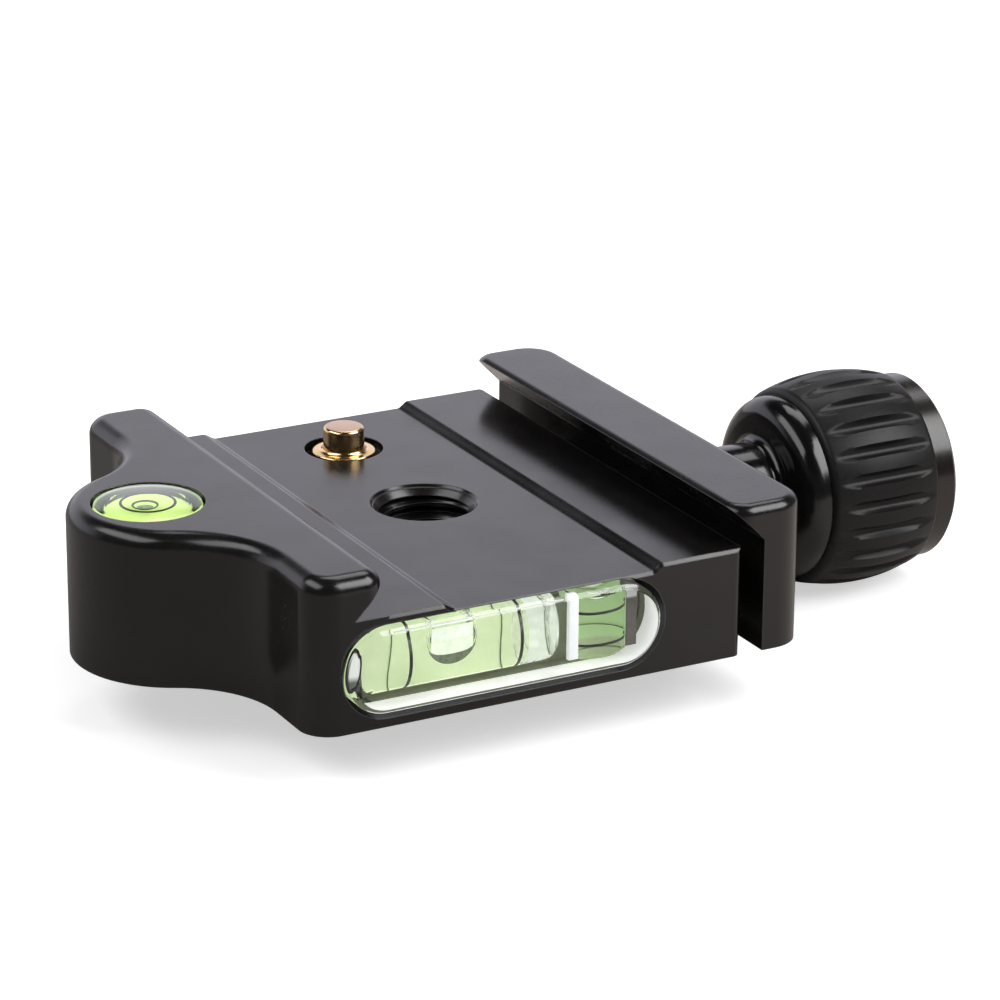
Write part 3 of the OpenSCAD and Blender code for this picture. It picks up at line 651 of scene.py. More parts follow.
def even_normals(mesh: bpy.types.Mesh, angle: float) -> None:
    """Gives a merged solid normals that keep flats flat beside their fillets.

    A corner's normal weighs each flat patch round it by the patch's whole area,
    so that the thin triangles of a large flat don't bend its shading.

    Args:
        mesh: The merged mesh of triangles.
        angle: The sharpest smooth edge, in degrees.
    """
    bm = bmesh.new()
    bm.from_mesh(mesh)
    bm.faces.ensure_lookup_table()
    parent = list(range(len(bm.faces)))

    def root(k: int) -> int:
        """Returns the patch that a face belongs to."""
        while parent[k] != k:
            parent[k] = parent[parent[k]]
            k = parent[k]
        return k

    limit = math.radians(angle)
    for edge in bm.edges:
        turned = edge.calc_face_angle(math.pi) if len(edge.link_faces) == 2 else math.pi
        edge.smooth = turned < limit
        if turned < FLAT_TURN:
            parent[root(edge.link_faces[0].index)] = root(edge.link_faces[1].index)
    area: Dict[int, float] = {}
    for face in bm.faces:
        face.smooth = True
        area[root(face.index)] = area.get(root(face.index), 0.0) + face.calc_area()
    normals: Dict[Tuple[int, int], Vector] = {}
    for vert in bm.verts:
        left = sorted(vert.link_faces, key=lambda face: face.index)
        while left:
            group = [left.pop(0)]
            for face in group:
                for edge in face.edges:
                    if edge.smooth and vert in edge.verts:
                        for other in edge.link_faces:
                            if other in left:
                                left.remove(other)
                                group.append(other)
            total, seen = Vector(), set()
            for face in group:
                key = root(face.index)
                if key not in seen:
                    seen.add(key)
                    total += face.normal * area[key]
            for face in group:
                normals[(face.index, vert.index)] = total.normalized()
    bm.to_mesh(mesh)
    bm.free()
    loops = [normals[(p.index, mesh.loops[k].vertex_index)] for p in mesh.polygons for k in p.loop_indices]
    mesh.normals_split_custom_set(loops)


def recast(
    node: str, name: str, finish: Finish, body: Body, slot: Slot, angle: float = 19.0,
    reshape: Optional[Callable[[bmesh.types.BMesh], None]] = None,
) -> bpy.types.Object:
    """Makes a merged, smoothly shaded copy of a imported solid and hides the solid.

    Args:
        node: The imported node.
        name: The piece's name.
        finish: The finish that it gets.
        body: The body that it moves with.
        slot: The record's material slot.
        angle: The sharpest smooth edge, in degrees.
        reshape: A change to the copy's mesh before it is shaded.

    Returns:
        The piece.
    """
    bm = bmesh.new()
    bm.from_mesh(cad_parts[node].data)
    bmesh.ops.remove_doubles(bm, verts=bm.verts, dist=MERGE)
    if reshape:
        reshape(bm)
    made = keep(name, bm, finish)
    even_normals(made.data, angle)
    return settle(made, slot, node, body=body)


def settle(piece: bpy.types.Object, slot: Slot, *nodes: str, body: Body = Body.BASE) -> bpy.types.Object:
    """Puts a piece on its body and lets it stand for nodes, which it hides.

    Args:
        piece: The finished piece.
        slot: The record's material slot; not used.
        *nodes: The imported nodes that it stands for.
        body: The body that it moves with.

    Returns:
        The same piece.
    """
    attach(piece, body.value)
    if nodes:
        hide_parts(*nodes)
    LOG.info("%s: %d faces on %s", piece.name, len(piece.data.polygons), body.value)
    return piece


class NodeForm:
    """A geometry node tree with named inputs, run once and kept as a mesh."""

    def __init__(self, name: str, inputs: Sequence[Tuple[str, str, object]]) -> None:
        """Starts the tree.

        Args:
            name: The tree's name.
            inputs: Name, socket type and value of each input.
        """
        self.name = name
        self.tree = bpy.data.node_groups.new(name, "GeometryNodeTree")
        self.values: Dict[str, object] = {}
        for label, kind, value in inputs:
            item = self.tree.interface.new_socket(label, in_out="INPUT", socket_type=kind)
            self.values[item.identifier] = value
        self.tree.interface.new_socket("Geometry", in_out="OUTPUT", socket_type="NodeSocketGeometry")
        self.make = Shader(self.tree)
        self.given = self.make.add("NodeGroupInput").outputs

    def finish(self, geometry: Socket, material: bpy.types.Material) -> bpy.types.Object:
        """Ends the tree, runs it and returns the plain mesh.

        Args:
            geometry: The socket that holds the whole form.
            material: The material that the form gets.

        Returns:
            An object with the form as a plain mesh and no modifier.
        """
        real = self.make.add("GeometryNodeRealizeInstances", Geometry=geometry)
        painted = self.make.add("GeometryNodeSetMaterial", Geometry=real.outputs[0])
        painted.inputs["Material"].default_value = material
        self.make.add("NodeGroupOutput", Geometry=painted.outputs[0])
        seed = bpy.data.objects.new(self.name, bpy.data.meshes.new(self.name))
        bpy.context.scene.collection.objects.link(seed)
        modifier = seed.modifiers.new(self.name, "NODES")
        modifier.node_group = self.tree
        for key, value in self.values.items():
            modifier[key] = value
        graph = bpy.context.evaluated_depsgraph_get()
        mesh = bpy.data.meshes.new_from_object(seed.evaluated_get(graph), depsgraph=graph)
        seed.modifiers.clear()
        seed.data = mesh
        if not mesh.materials:
            mesh.materials.append(material)
        return seed


def close_and_turn(item: bpy.types.Object, place: Matrix) -> None:
    """Merges a form's doubles, points its faces outwards and places its mesh.

    Args:
        item: The object whose mesh is mended.
        place: Where the mesh goes.
    """
    bm = bmesh.new()
    bm.from_mesh(item.data)
    bmesh.ops.remove_doubles(bm, verts=bm.verts, dist=MERGE)
    bmesh.ops.recalc_face_normals(bm, faces=bm.faces)
    bm.transform(place)
    bm.to_mesh(item.data)
    bm.free()
    item.data.update()


# Sub-assemblies


@dataclass
class Chassis:
    """The anodised body, the moving jaw and the thread in the centre hole."""

    thread_major: float = 4.745
    thread_minor: float = 4.1
    thread_pitch: float = 1.5875
    thread_top: float = 8.5
    thread_bottom: float = 0.25
    ridge_steps: int = 64
    half_length: float = 25.0
    floor_bevel: float = 0.3
    recess_half: float = 9.6
    recess_slope: float = 1.4
    recess_floor: float = 9.6
    recess_depth: float = 0.6
    slope_cuts: int = 16
    steep_from: float = 0.1
    lip_x: float = -16.17
    top_z: float = 14.2
    lip_round: float = 0.45
    jaw_lip_round: float = 0.2
    jaw_lip_x: float = 17.7
    jaw_top_z: float = 13.97

    def build(self) -> None:
        """Builds the body, the jaw, and the centre hole's mouth and thread."""
        recast("base_body", "body_casting", BODY_BLACK, Body.BASE, Slot.BODY, reshape=self.shape_body)
        recast("moving_jaw", "jaw_casting", JAW_BLACK, Body.JAW, Slot.JAW, reshape=self.shape_jaw)
        self.mouth()
        self.thread()

    def shape_body(self, bm: bmesh.types.BMesh) -> None:
        """Softens the recess's slopes and the edge of the fixed lip."""
        self.ease_recess(bm)
        self.round_lip(bm, self.lip_x, self.top_z, self.lip_round)

    def shape_jaw(self, bm: bmesh.types.BMesh) -> None:
        """Softens the edge of the jaw's lip."""
        self.round_lip(bm, self.jaw_lip_x, self.jaw_top_z, self.jaw_lip_round)

    @staticmethod
    def round_lip(bm: bmesh.types.BMesh, x: float, z: float, radius: float) -> None:
        """Rounds the long edge of a lip.

        Args:
            bm: The mesh to change.
            x: The edge's place along X in mm.
            z: The edge's height in mm.
            radius: How far the rounding reaches in mm.
        """
        near = 0.02 * MM
        edges = [
            edge for edge in bm.edges
            if all(abs(v.co.x - x * MM) < near and abs(v.co.z - z * MM) < near for v in edge.verts)
        ]
        bmesh.ops.bevel(
            bm, geom=edges, offset=radius * MM, segments=5, profile=0.5, affect="EDGES", clamp_overlap=True,
        )

    def ease_recess(self, bm: bmesh.types.BMesh) -> None:
        """Turns the recess's two flat slopes into soft curves.

        Args:
            bm: The body's mesh.
        """
        for side in (-1, 1):
            for k in range(1, self.slope_cuts):
                x = side * (self.recess_half + self.recess_slope * k / self.slope_cuts) * MM
                parts = [*bm.verts, *bm.edges, *bm.faces]
                bmesh.ops.bisect_plane(bm, geom=parts, dist=1e-8, plane_co=(x, 0.0, 0.0), plane_no=(1.0, 0.0, 0.0))
        for vert in bm.verts:
            share = (abs(vert.co.x) / MM - self.recess_half) / self.recess_slope
            if not 0.001 < share < 0.999:
                continue
            drop = max(0.0, abs(vert.co.y) / MM - self.half_length + self.floor_bevel)
            line = self.recess_floor + self.recess_depth * share - drop
            if abs(vert.co.z / MM - line) < 0.004:
                spread = self.steep_from if vert.co.x > 0 else 0.0
                part = min(1.0, max(0.0, (share - spread) / (1.0 - 2.0 * spread)))
                eased = part * part * (3.0 - 2.0 * part)
                vert.co.z += self.recess_depth * (eased - share) * MM

    def mouth(self) -> bpy.types.Object:
        """Builds the bevelled ring at the mouth of the centre hole.

        Returns:
            The ring piece.
        """
        outline = [(4.745, 9.30), (4.98, 9.575), (4.22, 8.82), (4.16, 8.74), (4.20, 8.66), (4.745, 8.35)]
        ring = lathe("centre_hole_mouth", outline, MOUTH_BROWN, Matrix.Identity(4), 128)
        return settle(ring, Slot.BODY)

    def thread(self) -> bpy.types.Object:
        """Builds the thread's ridge as a helix along the wall of the centre hole.

        Returns:
            The ridge piece.
        """
        turns = (self.thread_top - self.thread_bottom - 0.05) / self.thread_pitch
        form = NodeForm(
            "centre_thread",
            [
                ("Radius", "NodeSocketFloat", self.thread_major * MM),
                ("Depth", "NodeSocketFloat", (self.thread_major - self.thread_minor) * MM),
                ("Pitch", "NodeSocketFloat", self.thread_pitch * MM),
                ("Turns", "NodeSocketFloat", turns),
            ],
        )
        make, given = form.make, form.given
        rise = make.math("MULTIPLY", given["Pitch"], given["Turns"])
        spiral = make.add(
            "GeometryNodeCurveSpiral", Resolution=self.ridge_steps, Rotations=given["Turns"],
            Start_Radius=given["Radius"], End_Radius=given["Radius"], Height=rise,
        )
        upright = make.add("GeometryNodeSetCurveNormal", {"mode": "Z_UP"}, Curve=spiral.outputs[0])
        half = make.math("MULTIPLY", given["Pitch"], 0.42)
        tip = make.math("MULTIPLY", given["Pitch"], 0.07)
        corners = [
            (make.math("MULTIPLY", half, -1.0), 0.0),
            (half, 0.0),
            (tip, given["Depth"]),
            (make.math("MULTIPLY", tip, -1.0), given["Depth"]),
        ]
        line = make.add("GeometryNodeCurvePrimitiveQuadrilateral", {"mode": "POINTS"})
        for number, (side, inward) in enumerate(corners, start=1):
            point = make.add("ShaderNodeCombineXYZ", X=inward, Y=side, Z=0.0)
            make.feed(line.inputs[f"Point {number}"], point.outputs[0])
        swept = make.add("GeometryNodeCurveToMesh", Curve=upright.outputs[0])
        make.feed(swept.inputs["Profile Curve"], line.outputs[0])
        make.feed(swept.inputs["Fill Caps"], True)
        ridge = form.finish(swept.outputs[0], THREAD_BLACK.material())
        close_and_turn(ridge, at(0.0, 0.0, self.thread_bottom))
        smooth(ridge, 30.0)
        return settle(ridge, Slot.BODY)


@dataclass
class SlidingParts:
    """The guide rods, the clamp screw, its washer and the coil springs."""

    spring_start: float = 13.45
    spring_end: float = 21.12
    spring_radius: float = 2.6
    spring_wire: float = 0.25
    spring_turns: float = 5.0
    rod_y: float = 14.0
    rod_z: float = 5.0

    def build(self) -> None:
        """Builds the sliding parts."""
        recast("guide_rod_front", "front_guide_rod", STEEL, Body.JAW, Slot.STEEL)
        recast("guide_rod_back", "back_guide_rod", STEEL, Body.JAW, Slot.STEEL)
        recast("clamp_screw", "clamp_screw_shaft", STEEL, Body.KNOB, Slot.STEEL)
        recast("thrust_washer", "knob_washer", STEEL, Body.KNOB, Slot.STEEL)
        length = self.spring_end - self.spring_start
        for name, side in (("jaw_spring_front", -1), ("jaw_spring_back", 1)):
            coil = self.coil(name + "_coil", self.spring_radius, self.spring_wire, length, self.spring_turns)
            close_and_turn(coil, at(self.spring_start, side * self.rod_y, self.rod_z) @ ALONG_X)
            smooth(coil, 60.0)
            settle(coil, Slot.STEEL, name)
            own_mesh(coil)

    @staticmethod
    def coil(name: str, radius: float, wire: float, length: float, turns: float) -> bpy.types.Object:
        """Builds a coil spring along Z from the origin.

        Args:
            name: The piece's name.
            radius: The coil's middle radius in mm.
            wire: The wire's radius in mm.
            length: The coil's length in mm.
            turns: The number of turns.

        Returns:
            The coil as a plain mesh.
        """
        form = NodeForm(
            name,
            [
                ("Radius", "NodeSocketFloat", radius * MM),
                ("Wire", "NodeSocketFloat", wire * MM),
                ("Length", "NodeSocketFloat", (length - 2 * wire) * MM),
                ("Turns", "NodeSocketFloat", turns),
            ],
        )
        make, given = form.make, form.given
        spiral = make.add(
            "GeometryNodeCurveSpiral", Resolution=24, Rotations=given["Turns"],
            Start_Radius=given["Radius"], End_Radius=given["Radius"], Height=given["Length"],
        )
        ring = make.add("GeometryNodeCurvePrimitiveCircle", Resolution=10, Radius=given["Wire"])
        swept = make.add("GeometryNodeCurveToMesh", Curve=spiral.outputs[0])
        make.feed(swept.inputs["Profile Curve"], ring.outputs[0])
        make.feed(swept.inputs["Fill Caps"], True)
        raised = make.add("GeometryNodeTransform", Geometry=swept.outputs[0])
        lift = make.add("ShaderNodeCombineXYZ", Z=given["Wire"])
        make.feed(raised.inputs["Translation"], lift.outputs[0])
        return form.finish(raised.outputs[0], SPRING_STEEL.material())


@dataclass
class Knob:
    """The clamp's knob: glossy bell, rubber grip with flutes, and end cap."""

    axis_z: float = 4.75
    start_x: float = 26.6
    grip_start: float = 12.2
    grip_length: float = 11.75
    middle_radius: float = 10.3
    end_radius: float = 9.35
    bore: float = 7.9
    flutes: int = 24
    flute_phase: float = 12.2
    flute_radius: float = 0.62
    flute_depth: float = 0.74
    steps_round: int = 384
    steps_along: int = 44
    end_round: float = 0.35
    flute_blend: float = 0.12

    def build(self) -> None:
        """Builds the knob's pieces."""
        recast("knob_core", "knob_bell", KNOB_GLOSS, Body.KNOB, Slot.GLOSS, 32.0)
        recast("knob_end_cap", "knob_cap", CAP_SATIN, Body.KNOB, Slot.GLOSS)
        recast("knob_lock_screw", "knob_inner_screw", STEEL, Body.KNOB, Slot.STEEL)
        self.grip()

    def grip(self) -> bpy.types.Object:
        """Builds the fluted rubber grip.

        The tree bends a plain tube into the barrel, and then cuts a round-bottomed
        flute at each of the repeats, as a straight cutter would.

        Returns:
            The grip piece.
        """
        sizes = {
            "Middle Radius": self.middle_radius, "End Radius": self.end_radius, "Length": self.grip_length,
            "Cutter Radius": self.flute_radius, "Flute Depth": self.flute_depth, "End Round": self.end_round,
            "Bore": self.bore, "Blend": self.flute_blend,
        }
        inputs = [(label, "NodeSocketFloat", value * MM) for label, value in sizes.items()]
        form = NodeForm("fluted_grip", [*inputs, ("Flutes", "NodeSocketInt", self.flutes)])
        make, given, m = form.make, form.given, form.make.math
        tube = make.add(
            "GeometryNodeMeshCylinder", {"fill_type": "NONE"}, Vertices=self.steps_round,
            Side_Segments=self.steps_along, Radius=1.0, Depth=given["Length"],
        )
        split = make.add("ShaderNodeSeparateXYZ", Vector=make.add("GeometryNodeInputPosition").outputs[0]).outputs
        half = m("MULTIPLY", given["Length"], 0.5)
        share = m("DIVIDE", split["Z"], half)
        crown = m("SUBTRACT", given["Middle Radius"], given["End Radius"])
        barrel = m("SUBTRACT", given["Middle Radius"], m("MULTIPLY", crown, m("MULTIPLY", share, share)))
        gap = m("MULTIPLY", m("SUBTRACT", 1.0, m("ABSOLUTE", share)), half)
        inset = m("MAXIMUM", m("SUBTRACT", given["End Round"], gap), 0.0)
        spare = m("SUBTRACT", m("MULTIPLY", given["End Round"], given["End Round"]), m("MULTIPLY", inset, inset))
        sunk = m("SQRT", m("MAXIMUM", spare, 0.0))
        barrel = m("SUBTRACT", barrel, m("SUBTRACT", given["End Round"], sunk))
        turn = m("ARCTAN2", split["Y"], split["X"])
        each = m("DIVIDE", 2 * math.pi, given["Flutes"])
        half_each = m("MULTIPLY", each, 0.5)
        off = m("SUBTRACT", m("FLOORED_MODULO", m("ADD", turn, half_each), each), half_each)
        middle = m("ADD", m("SUBTRACT", given["Middle Radius"], given["Flute Depth"]), given["Cutter Radius"])
        aside = m("MULTIPLY", middle, m("SINE", off))
        cutter2 = m("MULTIPLY", given["Cutter Radius"], given["Cutter Radius"])
        inside = m("SUBTRACT", cutter2, m("MULTIPLY", aside, aside))
        bite = m("SQRT", m("MAXIMUM", inside, 0.0))
        floor = m("SUBTRACT", m("MULTIPLY", middle, m("COSINE", off)), bite)
        floor = m("ADD", floor, m("LESS_THAN", inside, 0.0))
        cut = m("MAXIMUM", m("SMOOTH_MIN", barrel, floor, given["Blend"]), given["Bore"])
        aside, up = m("MULTIPLY", cut, m("COSINE", turn)), m("MULTIPLY", cut, m("SINE", turn))
        moved = make.add("ShaderNodeCombineXYZ", X=aside, Y=up, Z=split["Z"])
        shaped = make.add("GeometryNodeSetPosition", Geometry=tube.outputs[0], Position=moved.outputs[0])
        piece = form.finish(shaped.outputs[0], GRIP_RUBBER.material())
        self.close_grip(piece)
        middle_x = self.start_x + self.grip_start + self.grip_length / 2
        phase = Matrix.Rotation(math.radians(180 + self.flute_phase), 4, "Z")
        close_and_turn(piece, at(middle_x, 0.0, self.axis_z) @ ALONG_X @ phase)
        smooth(piece, 50.0)
        return settle(piece, Slot.RUBBER, "knob_grip", body=Body.KNOB)

    def close_grip(self, piece: bpy.types.Object) -> None:
        """Closes the tube's two ends inwards to its bore.

        Args:
            piece: The open tube.
        """
        bm = bmesh.new()
        bm.from_mesh(piece.data)
        bmesh.ops.remove_doubles(bm, verts=bm.verts, dist=1e-8)
        ends = [e for e in bm.edges if e.is_boundary]
        made = bmesh.ops.extrude_edge_only(bm, edges=ends)
        for vert in [v for v in made["geom"] if isinstance(v, bmesh.types.BMVert)]:
            flat = math.hypot(vert.co.x, vert.co.y)
            vert.co.x *= self.bore * MM / flat
            vert.co.y *= self.bore * MM / flat
        rims = [e for e in bm.edges if e.is_boundary]
        bmesh.ops.bridge_loops(bm, edges=rims)
        bm.to_mesh(piece.data)
        bm.free()


@dataclass
class SafetyPin:
    """The sprung brass pin with its collar."""

    spring_start: float = 1.0
    spring_length: float = 4.17
    spring_radius: float = 2.125
    pin_y: float = 16.65
    pin_radius: float = 1.95
    crown: float = 0.08
    top_round: float = 0.35
    foot_radius: float = 1.3
    shoulder_radius: float = 2.7
    shoulder_height: float = 1.0
    collar_radius: float = 2.99

    def build(self) -> None:
        """Builds the pin, its collar and its spring."""
        place = at(0.0, self.pin_y, 0.0)
        low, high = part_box("safety_pin")
        foot, top = low.z / MM, high.z / MM + self.crown
        shoulder = self.spring_start + self.spring_length
        turn, r = self.top_round, self.pin_radius
        outline = [
            (0, foot), (self.foot_radius, foot), (self.foot_radius, shoulder), (self.shoulder_radius, shoulder),
            (self.shoulder_radius, shoulder + self.shoulder_height), (r, shoulder + self.shoulder_height),
        ]
        for k in range(9):
            a = math.pi / 2 * k / 8
            outline.append((r - turn + turn * math.cos(a), top - turn + turn * math.sin(a)))
        outline.append((0, top))
        pin = lathe("brass_pin", outline, BRASS, place, 96)
        pin.data.materials.append(BRASS_TOP.material())
        for face in pin.data.polygons:
            if face.normal.z > 0.9 and face.center.z > (top - turn) * MM:
                face.material_index = 1
        settle(pin, Slot.BRASS, "safety_pin", body=Body.PIN)
        low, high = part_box("pin_bush")
        base, rim = low.z / MM, high.z / MM
        bore, wide = r + 0.05, self.collar_radius
        collar = [
            (bore, base), (wide, base), (wide, rim - 0.06), (wide - 0.06, rim), (bore + 0.42, rim + 0.01),
            (bore + 0.22, rim + 0.06), (bore + 0.09, rim + 0.16), (bore + 0.03, rim + 0.27), (bore, rim + 0.27),
        ]
        settle(lathe("brass_collar", collar, BRASS, place, 96), Slot.BRASS, "pin_bush")
        coil = SlidingParts.coil("pin_coil", self.spring_radius, 0.2, self.spring_length, 4.0)
        close_and_turn(coil, at(0.0, self.pin_y, self.spring_start))
        smooth(coil, 60.0)
        settle(coil, Slot.STEEL, "pin_spring")
        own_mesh(coil)


@dataclass
class RoundLevel:
    """The round level in the body's nose."""

    middle_x: float = -27.36
    top_z: float = 14.2
    floor_z: float = 8.2
    radius: float = 4.87
    edge: float = 0.3
    chamber: float = 3.6
    liquid_top: float = 13.85
    disc_z: float = 11.9
    ring_z: float = 13.88
    ring_radius: float = 2.4
    ring_width: float = 0.24
    ring_height: float = 0.18
    bubble_radius: float = 1.05
    bubble_at: Tuple[float, float] = (-0.35, -0.2)

    def build(self) -> None:
        """Builds the capsule, the liquid, the bubble, the ring, the disc and the cup."""
        place = at(self.middle_x, 0.0, 0.0)
        r, top, low, edge = self.radius, self.top_z, self.floor_z, self.edge
        capsule = lathe(
            "round_level_capsule",
            [(0, low), (r, low), (r, top - edge), (r - 0.09, top - 0.09), (r - edge, top), (0, top)],
            ACRYLIC, place, 128,
        )
        settle(capsule, Slot.ACRYLIC, "bullseye_vial")
        c, up, down = self.chamber, self.liquid_top, self.disc_z + 0.22
        liquid = lathe(
            "round_level_liquid",
            [(0, down), (c - 0.1, down), (c + 0.1, down + 0.3), (c + 0.1, up - 0.3), (c - 0.2, up - 0.06), (0, up)],
            LIME_LIQUID, place, 128,
        )
        settle(liquid, Slot.LIQUID, "bullseye_liquid")
        self.bubble()
        w, z = self.ring_width / 2, self.ring_z
        ring = lathe(
            "round_level_ring",
            self.band(self.ring_radius - w, self.ring_radius + w, z, z + self.ring_height),
            MARK_INK, place, 128,
        )
        settle(ring, Slot.MARK, "bullseye_ring")
        z = self.disc_z
        # The disc's glow is painted light.
        disc = lathe(
            "round_level_backing",
            [(0, z), (c - 0.15, z), (c - 0.1, z + 0.1), (c - 0.2, z + 0.18), (0, z + 0.18)], ROUND_DISC, place, 96,
        )
        settle(disc, Slot.BACKING, "bullseye_backing")
        # The cup is painted shade: a dark cone with a pale painted band at its top.
        outline = [(c - 0.1, z), (r - 0.25, z), (r - 0.06, top - 0.7), (r - 0.16, top - 0.62)]
        cup = lathe("round_level_cup_painted_shade", [*outline, (c + 0.2, z + 0.22), (c - 0.05, z + 0.14)], ROUND_CUP_SHADE, place, 128)
        settle(cup, Slot.BACKING)

    @staticmethod
    def band(inner: float, outer: float, low: float, high: float) -> List[Tuple[float, float]]:
        """Returns the outline of a plain ring, in mm."""
        return [(inner, low), (outer, low), (outer, high), (inner, high)]

    def bubble(self) -> None:
        """Builds the flat bubble under the window, with a dark rim and a grey disc under it, both painted shade."""
        x, y = self.bubble_at
        place = at(self.middle_x + x, y, self.liquid_top - 0.14)
        outline = []
        for k in range(17):
            a = math.pi * k / 16
            flat = 0.45 if a < math.pi / 2 else 0.1
            outline.append((self.bubble_radius * math.sin(a), -self.bubble_radius * flat * math.cos(a)))
        piece = lathe("round_level_bubble", outline, BUBBLE, place, 64)
        piece.data.flip_normals()
        settle(piece, Slot.LIQUID)
        r = self.bubble_radius
        rim = lathe("round_bubble_rim_painted_shade", self.band(r + 0.01, r + 0.13, -0.16, 0.03), BUBBLE_RIM_SHADE, place, 64)
        settle(rim, Slot.MARK)
        under, wide = -0.56 * r, 0.8 * r
        outline = [(0, under - 0.05), (wide, under - 0.05), (wide, under), (0, under)]
        settle(lathe("round_bubble_shade", outline, BUBBLE_GREY_SHADE, place, 64), Slot.BACKING)


@dataclass
class TwoWayLevel:
    """The acrylic block with a level tube and an upright tube."""

    middle_x: float = -5.18
    middle_z: float = 5.43
    half_flat: float = 11.5
    radius: float = 3.82
    front_y: float = -26.0
    back_y: float = -18.6
    bevel: float = 0.4
    tube_y: float = -22.15
    tube_z: float = 5.75
    tube_radius: float = 2.85
    tube_start: float = -17.8
    liquid_end: float = -2.8
    plug_end: float = 0.4
    ring_x: Tuple[float, float] = (-14.2, -3.47)
    shade_x: Tuple[Tuple[float, float, float], ...] = ((-15.7, -14.3, -15.35), (-4.95, -3.7, -4.4))
    ring_width: float = 0.3
    bubble_x: float = -9.45
    bubble_length: float = 2.35
    bubble_radius: float = 2.1
    bubble_middle: float = -10.19
    bubble_half: float = 2.4
    bubble_low: float = 4.79
    bubble_rise: float = 2.2
    bubble_edge: float = 0.85
    bubble_depth: float = 1.35
    bubble_top: float = 8.2
    bar_x: Tuple[float, float] = (0.90, 1.86)
    bar_depth: float = 0.8
    bar_floor: float = 3.15
    plumb_x: float = 4.75
    plumb_radius: float = 2.7
    plumb_start: float = 2.56
    plumb_end: float = 8.25
    plumb_rings: Tuple[float, float] = (3.84, 6.76)
    plumb_bubble: float = 1.6
    liner_gap: float = 0.03
    liner_wall: float = 0.06
    wall_depth: float = 5.0
    end_line: float = -19.0
    side_shift: float = 0.3225
    highlight_low: Tuple[float, float] = (-25.56, 8.72)
    highlight_high: Tuple[float, float] = (-25.46, 8.88)
    web_low: Vec3 = (7.6, -22.6, 2.75)
    web_high: Vec3 = (8.62, -22.45, 7.95)
    lens_at: Vec3 = (-19.66, -25.25, 5.93)
    lens_turn: float = 8.0
    lens_share: float = 0.30

    def build(self) -> None:
        """Builds the block and everything inside it."""
        self.block()
        self.level_tube()
        self.upright_tube()
        self.bar()
        self.back()
        self.white_wall()
        self.floor_strip()
        self.top_edge_highlight()
        self.end_wall()
        self.end_lens()

    def outline(self, radius: float, steps: int = 40) -> List[Tuple[float, float]]:
        """Returns the block's rounded outline in X and Z, in mm.

        Args:
            radius: The radius of the round ends.
            steps: The steps in each round end.

        Returns:
            The points, counter-clockwise as seen from the front.
        """
        points = []
        for side, start in ((1, -90.0), (-1, 90.0)):
            for k in range(steps + 1):
                a = math.radians(start + 180.0 * k / steps)
                middle = self.middle_x + side * self.half_flat
                points.append((middle + radius * math.cos(a), self.middle_z + radius * math.sin(a)))
        return points

    @staticmethod
    def loft(name: str, rings: Sequence[Sequence[Vec3]], finish: Finish, closed: bool = False) -> bpy.types.Object:
        """Joins rings of points into a closed skin.

        Args:
            name: The piece's name.
            rings: Rings with the same number of points, in mm.
            finish: The finish that the piece gets.
            closed: Whether the last ring joins the first, as round a frame.

        Returns:
            The piece.
        """
        bm, count = bmesh.new(), len(rings[0])
        verts = [bm.verts.new([value * MM for value in point]) for ring in rings for point in ring]
        if not closed:
            bm.faces.new(verts[:count])
            bm.faces.new(verts[-count:])
        for k in range(len(rings) if closed else len(rings) - 1):
            low, high = k * count, (k + 1) % len(rings) * count
            for i in range(count):
                j = (i + 1) % count
                bm.faces.new([verts[low + i], verts[low + j], verts[high + j], verts[high + i]])
        bmesh.ops.remove_doubles(bm, verts=bm.verts, dist=MERGE)
        bmesh.ops.recalc_face_normals(bm, faces=bm.faces)
        return keep(name, bm, finish)

    def block(self) -> None:
        """Builds the clear block with its bevelled front edge."""
        b, r, front = self.bevel, self.radius, self.front_y
        rows = [
            (self.back_y, r - 0.1), (self.back_y - 0.1, r), (front + b + 0.03, r), (front + b - 0.05, r - 0.03),
            (front + 0.09, r - b + 0.07), (front + 0.02, r - b - 0.02), (front, r - b - 0.1),
        ]
        piece = self.loft("level_clear_block", [[(x, y, z) for x, z in self.outline(q)] for y, q in rows], ACRYLIC)
        smooth(piece, 28.0)
        settle(piece, Slot.ACRYLIC, "level_block")

    def along(self, x: float) -> Matrix:
        """Returns the place of a turned form that runs along X from x, in mm."""
        return at(x, self.tube_y, self.tube_z) @ ALONG_X

    def level_tube(self) -> None:
        """Builds the level tube's liquid, bubble, rings, plug and liners."""
        r, length = self.tube_radius, self.liquid_end - self.tube_start
        liquid = lathe(
            "level_tube_liquid",
            [(0, 0.0), (r - 0.5, 0.0), (r, 0.35), (r, length), (0, length)],
            LIQUID, self.along(self.tube_start), 96,
        )
        settle(liquid, Slot.LIQUID, "level_liquid")
        reach = self.plug_end - self.liquid_end
        plug = lathe(
            "level_tube_plug",
            [
                (0, 0.02), (r - 0.15, 0.02), (r - 0.02, 0.2), (r - 0.02, 0.9), (r - 0.09, 1.0), (r - 0.02, 1.1),
                (r - 0.02, reach - 1.1), (r - 0.12, reach - 0.5), (r - 0.5, reach - 0.12), (r - 1.2, reach),
                (0, reach),
            ],
            PLUG, self.along(self.liquid_end), 96,
        )
        settle(plug, Slot.FROSTED, "level_plug")
        for number, x in enumerate(self.ring_x, start=1):
            self.half_ring(f"level_tube_ring_{number}", x)
        for number, ends in enumerate(self.shade_x, start=1):
            self.back_line(f"level_tube_line_{number}", ends)
